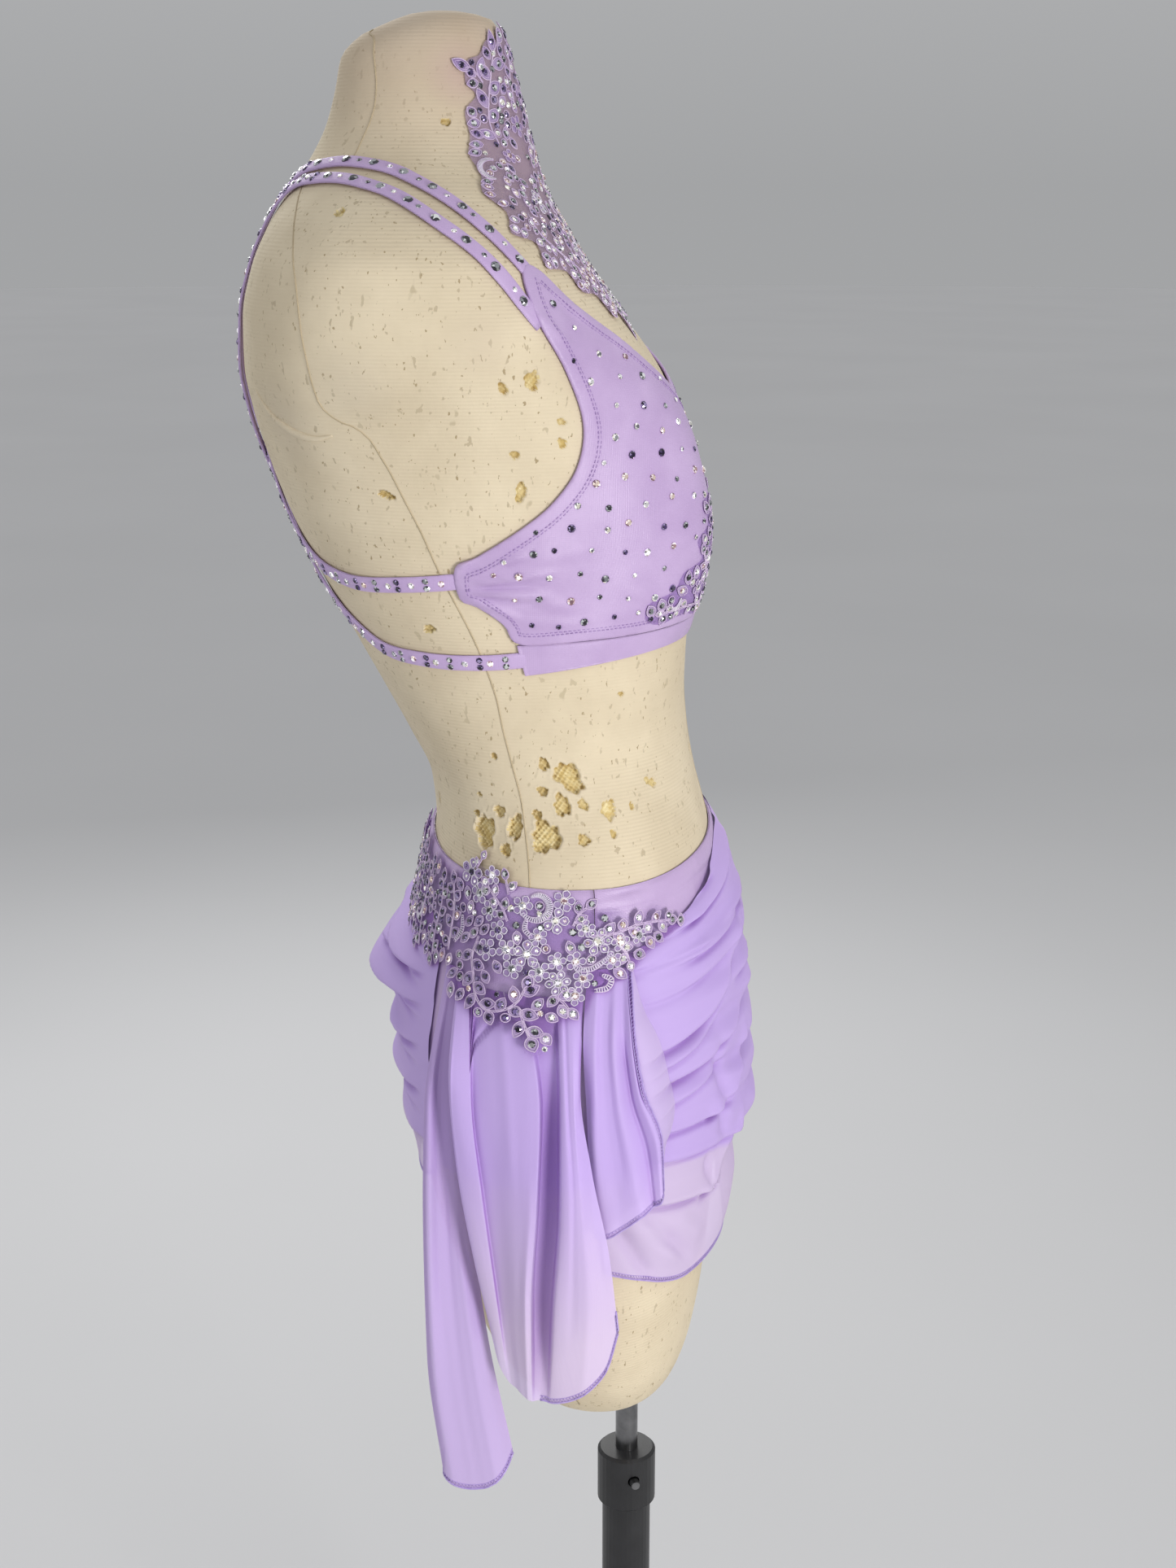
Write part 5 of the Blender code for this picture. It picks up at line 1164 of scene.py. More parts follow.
FRONT_FOLDS = folds(
    (78, 0.959, 50, 0.968, 1.1, 3, 0.9), (72, 0.963, -6, 0.997, 1.3, 9, 2.8),
    (68, 0.972, 38, 0.986, 1.1, 5, 1.3), (80, 0.948, 50, 0.95, 1.1, 3, 0.9),
    (78, 0.945, -8, 0.967, 2.2, 10, 2.8), (79, 0.927, 12, 0.95, 1.8, 9, 1.5),
    (79, 0.8955, 26, 0.948, 2.3, 11, 3.2), (79, 0.883, 44, 0.902, 1.8, 5, 1.4),
    (79, 0.8745, 4, 0.908, 2.2, 11, 3.2), (79, 0.858, 40, 0.868, 1.6, 7, 1.7),
    (79, 0.849, 34, 0.833, 0.6, 10, 2.8), (56, 0.835, 22, 0.866, 1.8, 9, 2.6),
    (80, 0.83, 28, 0.802, 0.8, 6, 1.8), (80, 0.804, 40, 0.777, 0.7, 9, 3),
    (58, 0.78, 28, 0.814, 1.6, 8, 2.8), (46, 0.954, -80, 0.974, 1.2, 12, 3),
    (30, 0.946, -36, 0.959, 1, 6, 1.7), (44, 0.933, -84, 0.956, 1.2, 9, 2.2),
    (12, 0.922, -58, 0.941, 1.5, 7, 1.9), (40, 0.912, -70, 0.935, 1.1, 13, 3.6),
    (-4, 0.9, -84, 0.923, 1.2, 7, 1.8), (30, 0.888, -84, 0.912, 1.3, 10, 2.6),
    (34, 0.862, -74, 0.89, 1.2, 13, 3.8), (2, 0.854, -46, 0.87, 1, 6, 1.6),
    (24, 0.836, -84, 0.868, 1.4, 10, 2.5), (30, 0.804, -66, 0.842, 1.3, 13, 3.4),
    (-8, 0.8, -80, 0.829, 1.3, 7, 1.8), (20, 0.772, -84, 0.808, 1.2, 11, 2.4),
    (8, 0.746, -76, 0.786, 1.2, 10, 1.8),
)
FRONT_CREASES = creases(
    (48.5, 0.886, 43.5, 0.808, 7.5, -3.6), (50, 0.806, 52, 0.782, 5, -2.4),
    (75, 0.794, 64, 0.756, 3.6, -1.7), (81, 0.79, 73, 0.742, 4.5, -3.6), (77, 0.79, 65, 0.746, 7, 2.6),
    (72, 0.774, 60, 0.742, 4.5, -2.4), (66, 0.78, 55, 0.75, 7, 2),
)
BACK_FOLDS = folds(
    (127, 0.947, 200, 0.964, 1.3, 8, 2.2), (127, 0.937, 225, 0.948, 1.6, 9, 2.6),
    (127, 0.929, 190, 0.912, 0.8, 9, 2.8), (127, 0.92, 235, 0.93, 1.9, 9, 2.4),
    (127, 0.91, 205, 0.886, 0.8, 10, 3), (127, 0.898, 240, 0.902, 2, 10, 2.6),
    (127, 0.884, 200, 0.856, 0.8, 10, 2.8), (127, 0.868, 240, 0.868, 1.6, 9, 2.4),
    (127, 0.852, 205, 0.826, 0.8, 10, 2.6), (127, 0.835, 240, 0.836, 1.6, 9, 2.2),
    (127, 0.818, 200, 0.798, 0.8, 8, 2), (264, 0.972, 206, 0.956, 1.5, 8, 2.2),
    (264, 0.944, 200, 0.92, 1.5, 9, 2.4), (264, 0.91, 212, 0.886, 1.5, 9, 2.4),
    (264, 0.872, 202, 0.848, 1.6, 9, 2.2), (264, 0.832, 212, 0.812, 1.5, 8, 2),
)


def held_down(into, height, foot):
    """What is left of the folds where the lace lies on them, from how many degrees into it a place is."""
    return 1 - 0.75 * np.clip(into / 8, 0, 1) * np.clip((height - foot) / 0.015, 0, 1)


def front_fine(turn, height):
    return (FRONT_FOLDS(turn, height) + FRONT_CREASES(turn, height)) * held_down(turn - 56, height, 0.915)


def back_fine(turn, height):
    return BACK_FOLDS(turn, height) * held_down(214 - turn, height, 0.925)


# Serged edges: the rolled cord, the zigzag over it and the inner thread
HEM_STEP, HEM_WIDTH = 1.1 * MM, 2.9 * MM
HEM_CORD, HEM_ZIGZAG, HEM_INNER = 0.62 * MM, 0.31 * MM, 0.28 * MM


def hem(name, *edges):
    """Serged edges: a rolled cord with over-and-over thread on each edge, given with a line inward of it."""
    pieces = []
    for edge, inward in edges:
        path, inner = along_path(edge, HEM_STEP), along_path(inward, HEM_STEP)
        count = len(path)
        share = np.linspace(0, 1, len(inner))
        inner = np.stack([np.interp(np.linspace(0, 1, count), share, values) for values in inner.T], -1)
        width = unit(inner - path) * HEM_WIDTH
        pieces.append(sweep(path[::2], HEM_CORD, 6))
        pieces.append(sweep(path + width * np.where(np.arange(count) % 2, 1.0, 0.0)[:, None], HEM_ZIGZAG, 4))
        pieces.append(sweep((path + width)[::2], HEM_INNER, 4))
    return assigned(joined(name, pieces, THREAD))


DRAPES = (
    ("front", FRONT_DRAPE, FRONT_TURNS, FRONT_REACH, 180, 245, front_fine, (0.50, 0.30), 0.118),
    ("back", BACK_DRAPE, BACK_TURNS, 0.0, 160, 190, back_fine, (0.46, 0.24), 0.085),
)


def build_drapes():
    """Both drapes, and a search tree of the front one."""
    trees = []
    for name, lines, turns, reach, across, down, fine, flat, area in DRAPES:
        grid = drape_grid(lines, turns, reach, across, down, fine)
        trees.append(search_tree(grid, grid_faces(down, across)))
        made = assigned(sheet("drape_%s_cloth" % name, grid, DRAPE_LOOKS[name]), "drape_" + name)
        edge = hem("drape_%s_hem" % name, (grid[-1], grid[-4]))
    return trees[0]


def tail_grid(rows, across, levels, fine):
    """A cascade's points, from a table of fold lines."""
    at = np.linspace(0, len(rows) - 1, across)
    values = np.array(rows, float).T
    named = {key: track(at, np.arange(float(len(rows))), value) for key, value in zip(TAIL_COLUMNS, values)}
    down = np.linspace(0, 1, levels)
    start = off_form(named["turn"], named["top"], named["lift"] * MM)
    grid = np.zeros((levels, across, 3))
    for axis, key, sign in ((0, "out", -1), (1, "back", 1)):
        knots = np.array([sign * start[:, axis], *(named[key + k] * MM for k in "1234")])
        for i in range(across):
            grid[:, i, axis] = sign * track(down, np.linspace(0, 1, 5), knots[:, i])
    grid[..., 2] = named["top"] + (named["hem"] - named["top"]) * down[:, None]
    share, drop = np.meshgrid(at / (len(rows) - 1), down)
    grid[..., 0] -= fine(share, drop)
    return grid


def ripples(*waves):
    """Small folds that run down a tail: each is (share across, start, end, width, rise mm)."""

    def rise(share, drop):
        total = np.zeros(share.shape)
        for across, start, end, width, up in waves:
            held = ease(np.minimum(drop - start, end - drop) / 0.18)
            total += up * MM * np.exp(-(((share - across) / width) ** 2)) * held
        return total

    return rise


# Recess in the middle cascade: its (share across, drop) at the top and at the tip, its depth, and its
# pleats as (place, width, rise mm)
GATHER_TOP, GATHER_TIP = (0.39, 0.03), (0.19, 0.19)
GATHER_DEPTH = 3.4 * MM
PLEATS = ((0.12, 0.07, 2.2), (0.34, 0.07, 2.4), (0.72, 0.17, 2))
MIDDLE_RIPPLES = ripples(
    (0.06, 0.05, 0.6, 0.018, 0.8), (0.3, 0.25, 1.2, 0.03, -0.8), (0.36, -0.1, 0.5, 0.02, 0.7),
    (0.44, 0.35, 1.3, 0.03, 0.7), (0.83, -0.1, 0.9, 0.015, -0.7), (0.88, 0.1, 1.3, 0.02, 0.6),
)
LONG_FINE = ripples(
    (0.22, 0.1, 0.8, 0.05, 0.8), (0.55, 0.3, 1.2, 0.06, -0.9), (0.75, 0.4, 1.3, 0.06, 0.6),
)
SHORT_FINE = ripples(
    (0.2, -0.2, 0.6, 0.05, 0.7), (0.42, 0, 0.9, 0.05, -0.7), (0.68, 0.2, 1.3, 0.025, -1.2),
    (0.88, -0.15, 0.62, 0.05, -2.4),
)
# Turned edge of the short cascade: how far it shows past the front edge, in millimetres, down the drop
TURNED_COLUMNS = ("drop", "shows")
TURNED_ROWS = (
    (0, 0.6), (0.18, 6), (0.36, 14.6), (0.49, 15.7), (0.63, 13), (0.74, 7.6), (0.85, 2.2), (0.93, 0.4),
)
TURNED_LAP, TURNED_GAP, TURNED_SWELL, TURNED_ACROSS = 0.6 * MM, 0.7 * MM, 1.1 * MM, 12


def middle_fine(share, drop):
    """Ripples, and the pleats that show in the recess over the crossed layer."""
    line = np.interp(drop, (GATHER_TOP[1], GATHER_TIP[1]), (GATHER_TOP[0], GATHER_TIP[0]))
    within = np.clip((share - GATHER_TIP[0]) / 0.006, 0, 1) * np.clip((line - share) / 0.006, 0, 1)
    across = (share - GATHER_TIP[0]) / np.maximum(line - GATHER_TIP[0], 1e-4)
    pleats = sum(up * MM * np.exp(-(((across - at) / wide) ** 2)) for at, wide, up in PLEATS)
    return MIDDLE_RIPPLES(share, drop) + within * (pleats - GATHER_DEPTH)


def turned_edge(grid, drape):
    """The strip of the short cascade that turns back in front of it and lies on the front drape."""
    levels = int(len(grid) * TURNED_ROWS[-1][0])
    shows = read(TURNED_ROWS, TURNED_COLUMNS, np.arange(levels) / (len(grid) - 1))[0] * MM
    strip = np.zeros((levels, TURNED_ACROSS, 3))
    for j in range(levels):
        edge = grid[j, -1]
        for i, part in enumerate(np.linspace(0, 1, TURNED_ACROSS)):
            y = edge[1] + TURNED_LAP - part * (shows[j] + TURNED_LAP)
            hit, _, _, _ = drape.ray_cast(Vector((-0.3, y, edge[2])), Vector((1, 0, 0)))
            rest = edge[0] if hit is None else hit.x - TURNED_GAP
            lean = edge[0] + 0.5 * MM
            low = min(rest, lean + (rest - lean) * part)
            swell = TURNED_SWELL * math.sin(math.pi * part) * min(1, shows[j] / 0.006)
            strip[j, i] = (low - swell, y, edge[2])
    return assigned(sheet("tail_short_turned_edge", strip, TURNED_LOOK))


# Cascades: name, rows, points across and down, small folds, look, and where the serged hem starts across
# and, as a height, down the side
TAILS = (
    ("long", TAIL_LONG, 90, 150, LONG_FINE, LONG_SHADED_LOOK, 0.0, None),
    ("middle", TAIL_MIDDLE, 230, 132, middle_fine, TAIL_LOOK, 0.62, 0.74),
    ("short", TAIL_SHORT, 90, 110, SHORT_FINE, TAIL_LOOK, 0.0, 0.9525),
)


def build_tails(drape):
    """The three cascades. drape is the front drape's search tree."""
    for name, rows, across, levels, fine, look, sewn_from, side_from in TAILS:
        grid = tail_grid(rows, across, levels, fine)
        made = assigned(sheet("tail_%s_cloth" % name, grid, look), "tail_" + name)
        first = int(across * sewn_from)
        edges = [(grid[-1, first:], grid[-4, first:])]
        if side_from:
            low = int(np.argmax(grid[:, -1, 2] < side_from))
            edges.append((grid[low:, -1], grid[low:, -4]))
        trims = [hem("tail_%s_hem" % name, *edges)]
        if name == "short":
            trims.append(turned_edge(grid, drape))


# Lace and stones
def oval(count, wide, tall=None):
    """An oval of points about the origin."""
    turn = np.arange(count) / count * math.tau
    return np.column_stack([np.cos(turn) * wide, np.sin(turn) * (tall or wide)])


def blade(length, width, count, skew, fullness, base=0.0):
    """A leaf or petal from its base near the origin to its tip up."""
    s = np.linspace(0, 1, count // 2 + 1)
    side = np.sin(np.pi * s**skew) ** fullness * width / 2
    up = (base + (1 - base) * s) * length
    return np.concatenate([np.column_stack([side, up]), np.column_stack([-side, up])[-2:0:-1]])


def leaf_points(length, width, count=16):
    return blade(length, width, count, 0.9, 0.8)


def petal_points(length, width):
    return blade(length, width, 12, 1.5, 0.7, 0.16)


class Lace:
    """Corded lace on a net: it gathers cords, satin fills and stones, then makes a piece of each. Its lengths
    are in millimetres."""

    def __init__(self, name, outline, lift, colours, seed):
        self.name, self.outline, self.lift, self.colours = name, outline, lift, colours
        self.rng = np.random.default_rng(seed)
        self.cords, self.bright, self.fills, self.gems = [], [], [], []
        self.taken, self.sizes = [], []

    def spots(self, turn, height, lean, points):
        """Local millimetres (right and up) about a place, turned by lean degrees, as turns and heights."""
        c, s = math.cos(math.radians(lean)), math.sin(math.radians(lean))
        wide, tall = mm_per(turn, height)
        right = points[:, 0] * c - points[:, 1] * s
        up = points[:, 0] * s + points[:, 1] * c
        return np.column_stack([turn - right / wide, height + up * MM / tall])

    def above(self, turn, height, lean, up):
        """The place that is up from another, along a lean."""
        return self.spots(turn, height, lean, np.array([[0.0, up]]))[0]

    def cord(self, spots, radius=0.42, closed=True, rise=0.35, bright=False):
        """A cord along turns and heights, silver if bright."""
        (self.bright if bright else self.cords).append((spots, radius, closed, rise))

    def take(self, turn, height, size):
        """Keeps other motifs away from a place."""
        self.taken.append(form_xyz(turn, height))
        self.sizes.append(size * MM)

    def free(self, turn, height, size, slack=0.94):
        """Whether a motif of a size has room at a place."""
        if not self.taken:
            return True
        gap = np.linalg.norm(np.array(self.taken) - form_xyz(turn, height), axis=1)
        return bool((gap > (np.array(self.sizes) + size * MM) * slack).all())

    def gem(self, turn, height, size, rise=0.35, colour=None):
        """A stone, with a drawn colour unless one is given."""
        self.gems.append((turn, height, size, colour or self.colours(turn, height, self.rng.random()), rise))

    def ring(self, turn, height, radius, stone):
        """A round cord about a stone."""
        wobble = 1 + 0.08 * self.rng.standard_normal()
        lean = self.rng.uniform(0, 180)
        self.cord(self.spots(turn, height, lean, oval(12, radius * wobble, radius / wobble)), 0.36)
        self.gem(turn, height, stone)

    def leaf(self, turn, height, lean, length, width, stone):
        """A looped leaf with its base at a place, round a stone."""
        outer = self.spots(turn, height, lean, leaf_points(length, width))
        self.cord(outer, 0.38)
        inner = leaf_points(length * 0.72, width * 0.66, 12) + np.array([0, length * 0.12])
        self.cord(self.spots(turn, height, lean, inner), 0.20, True, 0.22)
        self.fills.append(outer)
        middle = self.above(turn, height, lean, length * 0.5)
        self.gem(*middle, stone)
        self.take(*middle, (length + width) * 0.24)

    def sprig(self, rows, length, width, pitch, stone, first):
        """Leaves on both sides of a stem through places of (turn, height), and one at its end."""
        self.stem(rows)
        path = smooth_path(rows, 60)
        wide, tall = mm_per(*path[30])
        flat = path * np.array([-wide, tall / MM])
        walk = walked(flat)
        side = first
        for at in [*np.arange(pitch * 0.4, walk[-1] - pitch * 0.5, pitch), walk[-1]]:
            i = min(int(np.searchsorted(walk, at)), 58)
            step = flat[i + 1] - flat[i]
            heading = math.degrees(math.atan2(-step[0], step[1]))
            lean = heading if at == walk[-1] else heading + side * self.rng.uniform(40, 62)
            grow = self.rng.uniform(0.88, 1.12)
            self.leaf(*path[i], lean, length * grow, width * self.rng.uniform(0.92, 1.08), stone)
            side = -side

    def flower(self, turn, height, radius, petals, stone, bright=False):
        """Looped petals round a stone."""
        lean = self.rng.uniform(0, 72)
        for k in range(petals):
            away = lean + 360.0 * k / petals + self.rng.uniform(-6, 6)
            loop = self.spots(turn, height, away, petal_points(radius, radius * 3.3 / petals))
            self.cord(loop, 0.34, True, 0.45, bright)
            self.fills.append(loop)
            if radius > 7:
                self.gem(*self.above(turn, height, away, radius * 0.68), stone * 0.5, 0.3)
        self.cord(self.spots(turn, height, lean, oval(10, stone * 0.58)), 0.3, True, 0.6, bright)
        self.gem(turn, height, stone, 0.8)
        self.take(turn, height, radius * 0.95)

    def stem(self, rows):
        """A double cord through places of (turn, height)."""
        scale = np.array([CREASE_SCALE, 1 / MM])
        path = smooth_path(rows, max(8, len(rows) * 6))
        step = np.gradient(path * scale, axis=0)
        side = unit(np.column_stack([-step[:, 1], step[:, 0]])) / scale
        for off in (-0.45, 0.45):
            self.cord(path + side * off, 0.36, False, 0.3)

    def ribbed(self, outer, inner):
        """Two cords with satin ribs across."""
        self.cord(outer, closed=False)
        self.cord(inner, closed=False)
        for one, two in zip(outer[1:], inner[1:]):
            self.cord(one + (two - one) * np.linspace(0, 1, 4)[:, None], 0.42, False, 0.5, True)
        for one, two in list(zip(outer, inner))[3::5]:
            self.take(*((one + two) / 2), 2.2)

    def curl(self, turn, height, lean, radius, around, band):
        """A ribbed crescent that winds inward."""
        count = max(12, int(abs(around) * radius / 90))
        angle = np.radians(np.linspace(0, around, count))
        shrink = np.linspace(1, 0.58, count)
        swell = np.sin(np.linspace(0.06, 0.96, count) * math.pi) ** 0.6 * band
        ray = np.column_stack([np.cos(angle), np.sin(angle)])
        self.ribbed(*(
            self.spots(turn, height, lean, ray * (radius * shrink - inward)[:, None]) for inward in (0, swell)
        ))

    def branch(self, rows, band):
        """A ribbed band along places of (turn, height)."""
        path = smooth_path(rows, 60)
        wide, tall = mm_per(*path[30])
        flat = np.array([-wide, tall / MM])
        line = along_path(path * flat, 1.4)
        step = unit(np.gradient(line, axis=0))
        swell = np.sin(np.linspace(0.08, 0.92, len(line)) * math.pi)[:, None] ** 0.5 * band / 2
        side = np.column_stack([-step[:, 1], step[:, 0]]) * swell
        self.ribbed((line + side) / flat, (line - side) / flat)

    def border(self, length, width, pitch, stone):
        """Leaves along the outline with their tips on it."""
        loop = smooth_loop(self.outline, 0.002)
        spots = loop / FLAT
        walk = walked(off_form(spots[:, 0], spots[:, 1], np.zeros(len(loop))))
        for at in np.arange(0, walk[-1], pitch * MM):
            i = int(np.searchsorted(walk, at))
            turn, height = spots[i]
            ahead, behind = spots[(i + 3) % len(loop)], spots[i - 3]
            wide, tall = mm_per(turn, height)
            along = (ahead - behind) * np.array([-wide, tall / MM])
            out = np.array([along[1], -along[0]]) / np.linalg.norm(along)
            probe = np.array([[turn - out[0] * 2 / wide, height + out[1] * 2 * MM / tall]]) * FLAT
            if inside(probe, loop)[0]:
                out = -out
            long = length * self.rng.uniform(0.85, 1.12)
            lean = math.degrees(math.atan2(-out[0], out[1])) + self.rng.uniform(-30, 30)
            back = np.array([[math.sin(np.radians(lean)) * long, -math.cos(np.radians(lean)) * long]])
            start = self.spots(turn, height, 0.0, back)[0]
            if self.free(*((start + spots[i]) / 2), (long + width) * 0.24, 0.84):
                self.leaf(*start, lean, long, width * self.rng.uniform(0.9, 1.1), stone)

    def scatter(self, tries, kinds, stone, cover):
        """Fills the outline with motifs, the large ones first. kinds are (size, tries, kind), and cover gives
        the chance of one from its turn."""
        loop = smooth_loop(self.outline, 0.004)
        low, high = loop.min(axis=0), loop.max(axis=0)
        for size, share, kind in kinds:
            tried = low + (high - low) * self.rng.random((int(tries * share), 2))
            for turn, height in tried[inside(tried, loop) & (loop_gap(tried, loop) > size * 0.8 * MM)] / FLAT:
                if not self.free(turn, height, size):
                    continue
                if self.rng.random() > cover(turn):
                    self.take(turn, height, size)
                elif kind == "leaf":
                    lean = 40 * math.sin(turn * 0.16 + height * 90) + 180 * (self.rng.random() > 0.5)
                    start = self.above(turn, height, lean, -size * 1.2)
                    self.leaf(*start, lean, size * 2.4, size * 1.55, stone)
                else:
                    self.take(turn, height, size)
                    if kind == "ring":
                        self.ring(turn, height, size, stone * self.rng.uniform(0.8, 1.0))
                    else:
                        self.gem(turn, height, size * 2)

    def make(self):
        """Makes the cords, fills and stones, and returns them."""
        made = []
        for cords, name, look in ((self.cords, "_cords", CORD), (self.bright, "_silver_cords", SILVER)):
            if not cords:
                continue
            turn, height = np.concatenate([c[0] for c in cords]).T
            rises = np.concatenate([np.full(len(c[0]), c[3] * MM) for c in cords])
            points = off_form(turn, height, self.lift(turn, height) + rises)
            normals = form_normal(turn, height)
            pieces, first = [], 0
            for spot, radius, closed, _ in cords:
                part = slice(first, first + len(spot))
                pieces.append(sweep(points[part], radius * MM, 5, closed, 0.85, normals[part]))
                first += len(spot)
            made.append(joined(self.name + name, pieces, look))
        pieces = []
        for loop in self.fills:
            middle, count = loop.mean(axis=0), len(loop)
            turn, height = np.concatenate([loop, middle + (loop - middle) * 0.6, [middle]]).T
            rise = np.concatenate([np.full(count, 0.15), np.full(count, 0.3), [0.34]]) * MM
            faces = grid_faces(2, count, wrap=True).tolist()
            faces += [(count + i, count + (i + 1) % count, 2 * count) for i in range(count)]
            pieces.append((off_form(turn, height, self.lift(turn, height) + rise), faces))
        made.append(joined(self.name + "_satin", pieces, SATIN))
        return [assigned(piece) for piece in made] + stones(self.name, self.gems, self.lift)


# Faceted stone of radius 1: rings of (radius, height, twist in facets) from the girdle to the table
STONE_RINGS = ((1.0, -0.12, 0.0), (1.0, 0.12, 0.0), (0.55, 0.46, 0.5))
STONE_SIDES = 8
STONE_TILT = 0.07


def stones(name, places, lift):
    """Faceted stones on the body. Each place is (turn, height, diameter, colour, rise in mm)."""
    turn, height, rise = (np.array([p[k] for p in places]) for k in (0, 1, 4))
    centre, out = off_form(turn, height, lift(turn, height) + rise * MM), form_normal(turn, height)
    return set_stones(name, [(c, o, p[2], p[3]) for c, o, p in zip(centre, out, places)])


def set_stones(name, places):
    """Faceted stones, joined by colour. Each place is (centre, outward direction, diameter mm, colour)."""
    rng = np.random.default_rng(len(places))
    n = STONE_SIDES
    template = []
    for radius, height, twist in STONE_RINGS:
        turn = (np.arange(n) + twist) / n * math.tau
        template.append(np.column_stack([np.cos(turn) * radius, np.sin(turn) * radius, np.full(n, height)]))
    template = np.concatenate(template)
    faces = grid_faces(2, n, wrap=True).tolist()
    for i in range(n):
        k = (i + 1) % n
        faces += [(n + i, n + k, 2 * n + i), (n + k, 2 * n + k, 2 * n + i)]
    faces.append(range(2 * n, 3 * n))
    made = []
    for colour in GEMS:
        rows = [p for p in places if p[3] == colour]
        if not rows:
            continue
        centre, facing, size = (np.array([row[k] for row in rows]) for k in range(3))
        out = unit(facing + rng.standard_normal((len(rows), 3)) * STONE_TILT)
        side = unit(np.cross(out, np.array([0.2, 0.3, 0.93])))
        spin = rng.uniform(0, math.tau, (len(rows), 1))
        one = side * np.cos(spin) + np.cross(out, side) * np.sin(spin)
        two = np.cross(out, one)
        shape = template[None, :, :1] * one[:, None] + template[None, :, 1:2] * two[:, None]
        shape = shape + template[None, :, 2:] * out[:, None]
        points = centre[:, None] + size[:, None, None] * MM / 2 * shape
        every = [tuple(k + len(template) * i for k in f) for i in range(len(rows)) for f in faces]
        made.append(place("%s_stones_%s" % (name, colour), points.reshape(-1, 3), every, GEMS[colour], False))
    return made


def drawn(names, draw):
    """One of the names, by a draw from 0 to 1."""
    names = names.split()
    return names[int(draw * len(names))]


def neck_colour(turn, height, draw):
    if height < 1.39:
        return drawn("clear rose grey rose clear violet", draw)
    high = height > 1.425
    return drawn("violet violet grey clear grey" if high else "rose grey rose clear violet grey", draw)


def hip_colour(turn, height, draw):
    if turn > 119 or (turn > 96.5 and height < 0.951) or (turn > 108 and height < 0.974):
        return drawn("violet violet violet grey violet rose", draw)
    if turn > 104:
        return drawn("clear clear grey clear violet", draw)
    return drawn("clear clear grey clear rose clear" if turn > 80 else "clear rose grey rose", draw)


def bra_colour(turn, height, draw):
    return drawn("clear grey violet rose clear grey", draw)


def neck_lift(turn, height):
    return np.full(np.shape(turn), NECK_GAP)


def bra_lift(turn, height):
    return bra_face(turn, height) + 0.5 * MM


# Motifs: flowers are (turn, height, radius, petals, stone), curls (turn, height, lean, radius, turn round,
# band), branches (stem, band), sprigs (stem, length, width, pitch, stone, first side) and loose stones
# (turn, height, colour)
NECK_FLOWERS = (
    (39.5, 1.394, 9, 5, 4.4), (27, 1.438, 7, 5, 4), (0, 1.408, 8, 6, 4.6), (17, 1.368, 7, 5, 4),
    (12, 1.456, 6.5, 5, 3.8), (0, 1.348, 6.5, 5, 4), (43, 1.42, 5.5, 5, 3.6),
)
NECK_CURLS = ((58.5, 1.411, 60, 13, 205, 3.4), (10, 1.43, 110, 8, 190, 3.2), (22, 1.39, 20, 7, 200, 3))
NECK_SPRIGS = (
    (((47, 1.427), (49.5, 1.44), (47, 1.454), (43, 1.466), (38, 1.478), (30, 1.486)), 12.5, 7.4, 8.6, 4.4,
     1),
    (((50, 1.462), (54, 1.467), (58, 1.469)), 12, 6, 10, 4, -1),
    (((24, 1.45), (22, 1.464), (15, 1.48)), 8.5, 5.2, 6.4, 3.6, 1),
    (((53, 1.388), (53, 1.378), (49, 1.368), (42, 1.358), (35, 1.348), (27, 1.338), (15, 1.326), (4,
     1.316)), 8, 4.8, 6.4, 3.4, 1),
    (((33, 1.384), (28, 1.374), (24, 1.362), (18, 1.35), (9, 1.337)), 7.5, 4.6, 6.2, 3.2, -1),
    (((6, 1.394), (7, 1.38), (5, 1.366)), 7.5, 4.6, 6.2, 3.4, 1),
)
BRA_FLOWERS = (
    (11, 1.232, 7, 5, 4.2), (0, 1.206, 7.5, 6, 4.4), (24, 1.196, 6.5, 5, 4), (38, 1.17, 6, 5, 3.8),
    (9, 1.176, 6.5, 5, 4),
)
BRA_CURLS = ((27, 1.216, 60, 7.5, 200, 3), (46, 1.164, 200, 6.5, 190, 2.8))
BRA_SPRIGS = (
    (((0, 1.164), (12, 1.164), (24, 1.168), (34, 1.179), (38, 1.192)), 7.8, 4.8, 6.2, 3.6, 1),
    (((30, 1.16), (40, 1.16), (50, 1.1585)), 7, 4.4, 6, 3.4, -1),
    (((14, 1.19), (18, 1.208), (20, 1.224), (24, 1.234)), 7.8, 4.8, 6.2, 3.6, -1),
    (((0, 1.22), (0, 1.234), (0, 1.243)), 7.5, 4.6, 6, 3.6, 1),
)
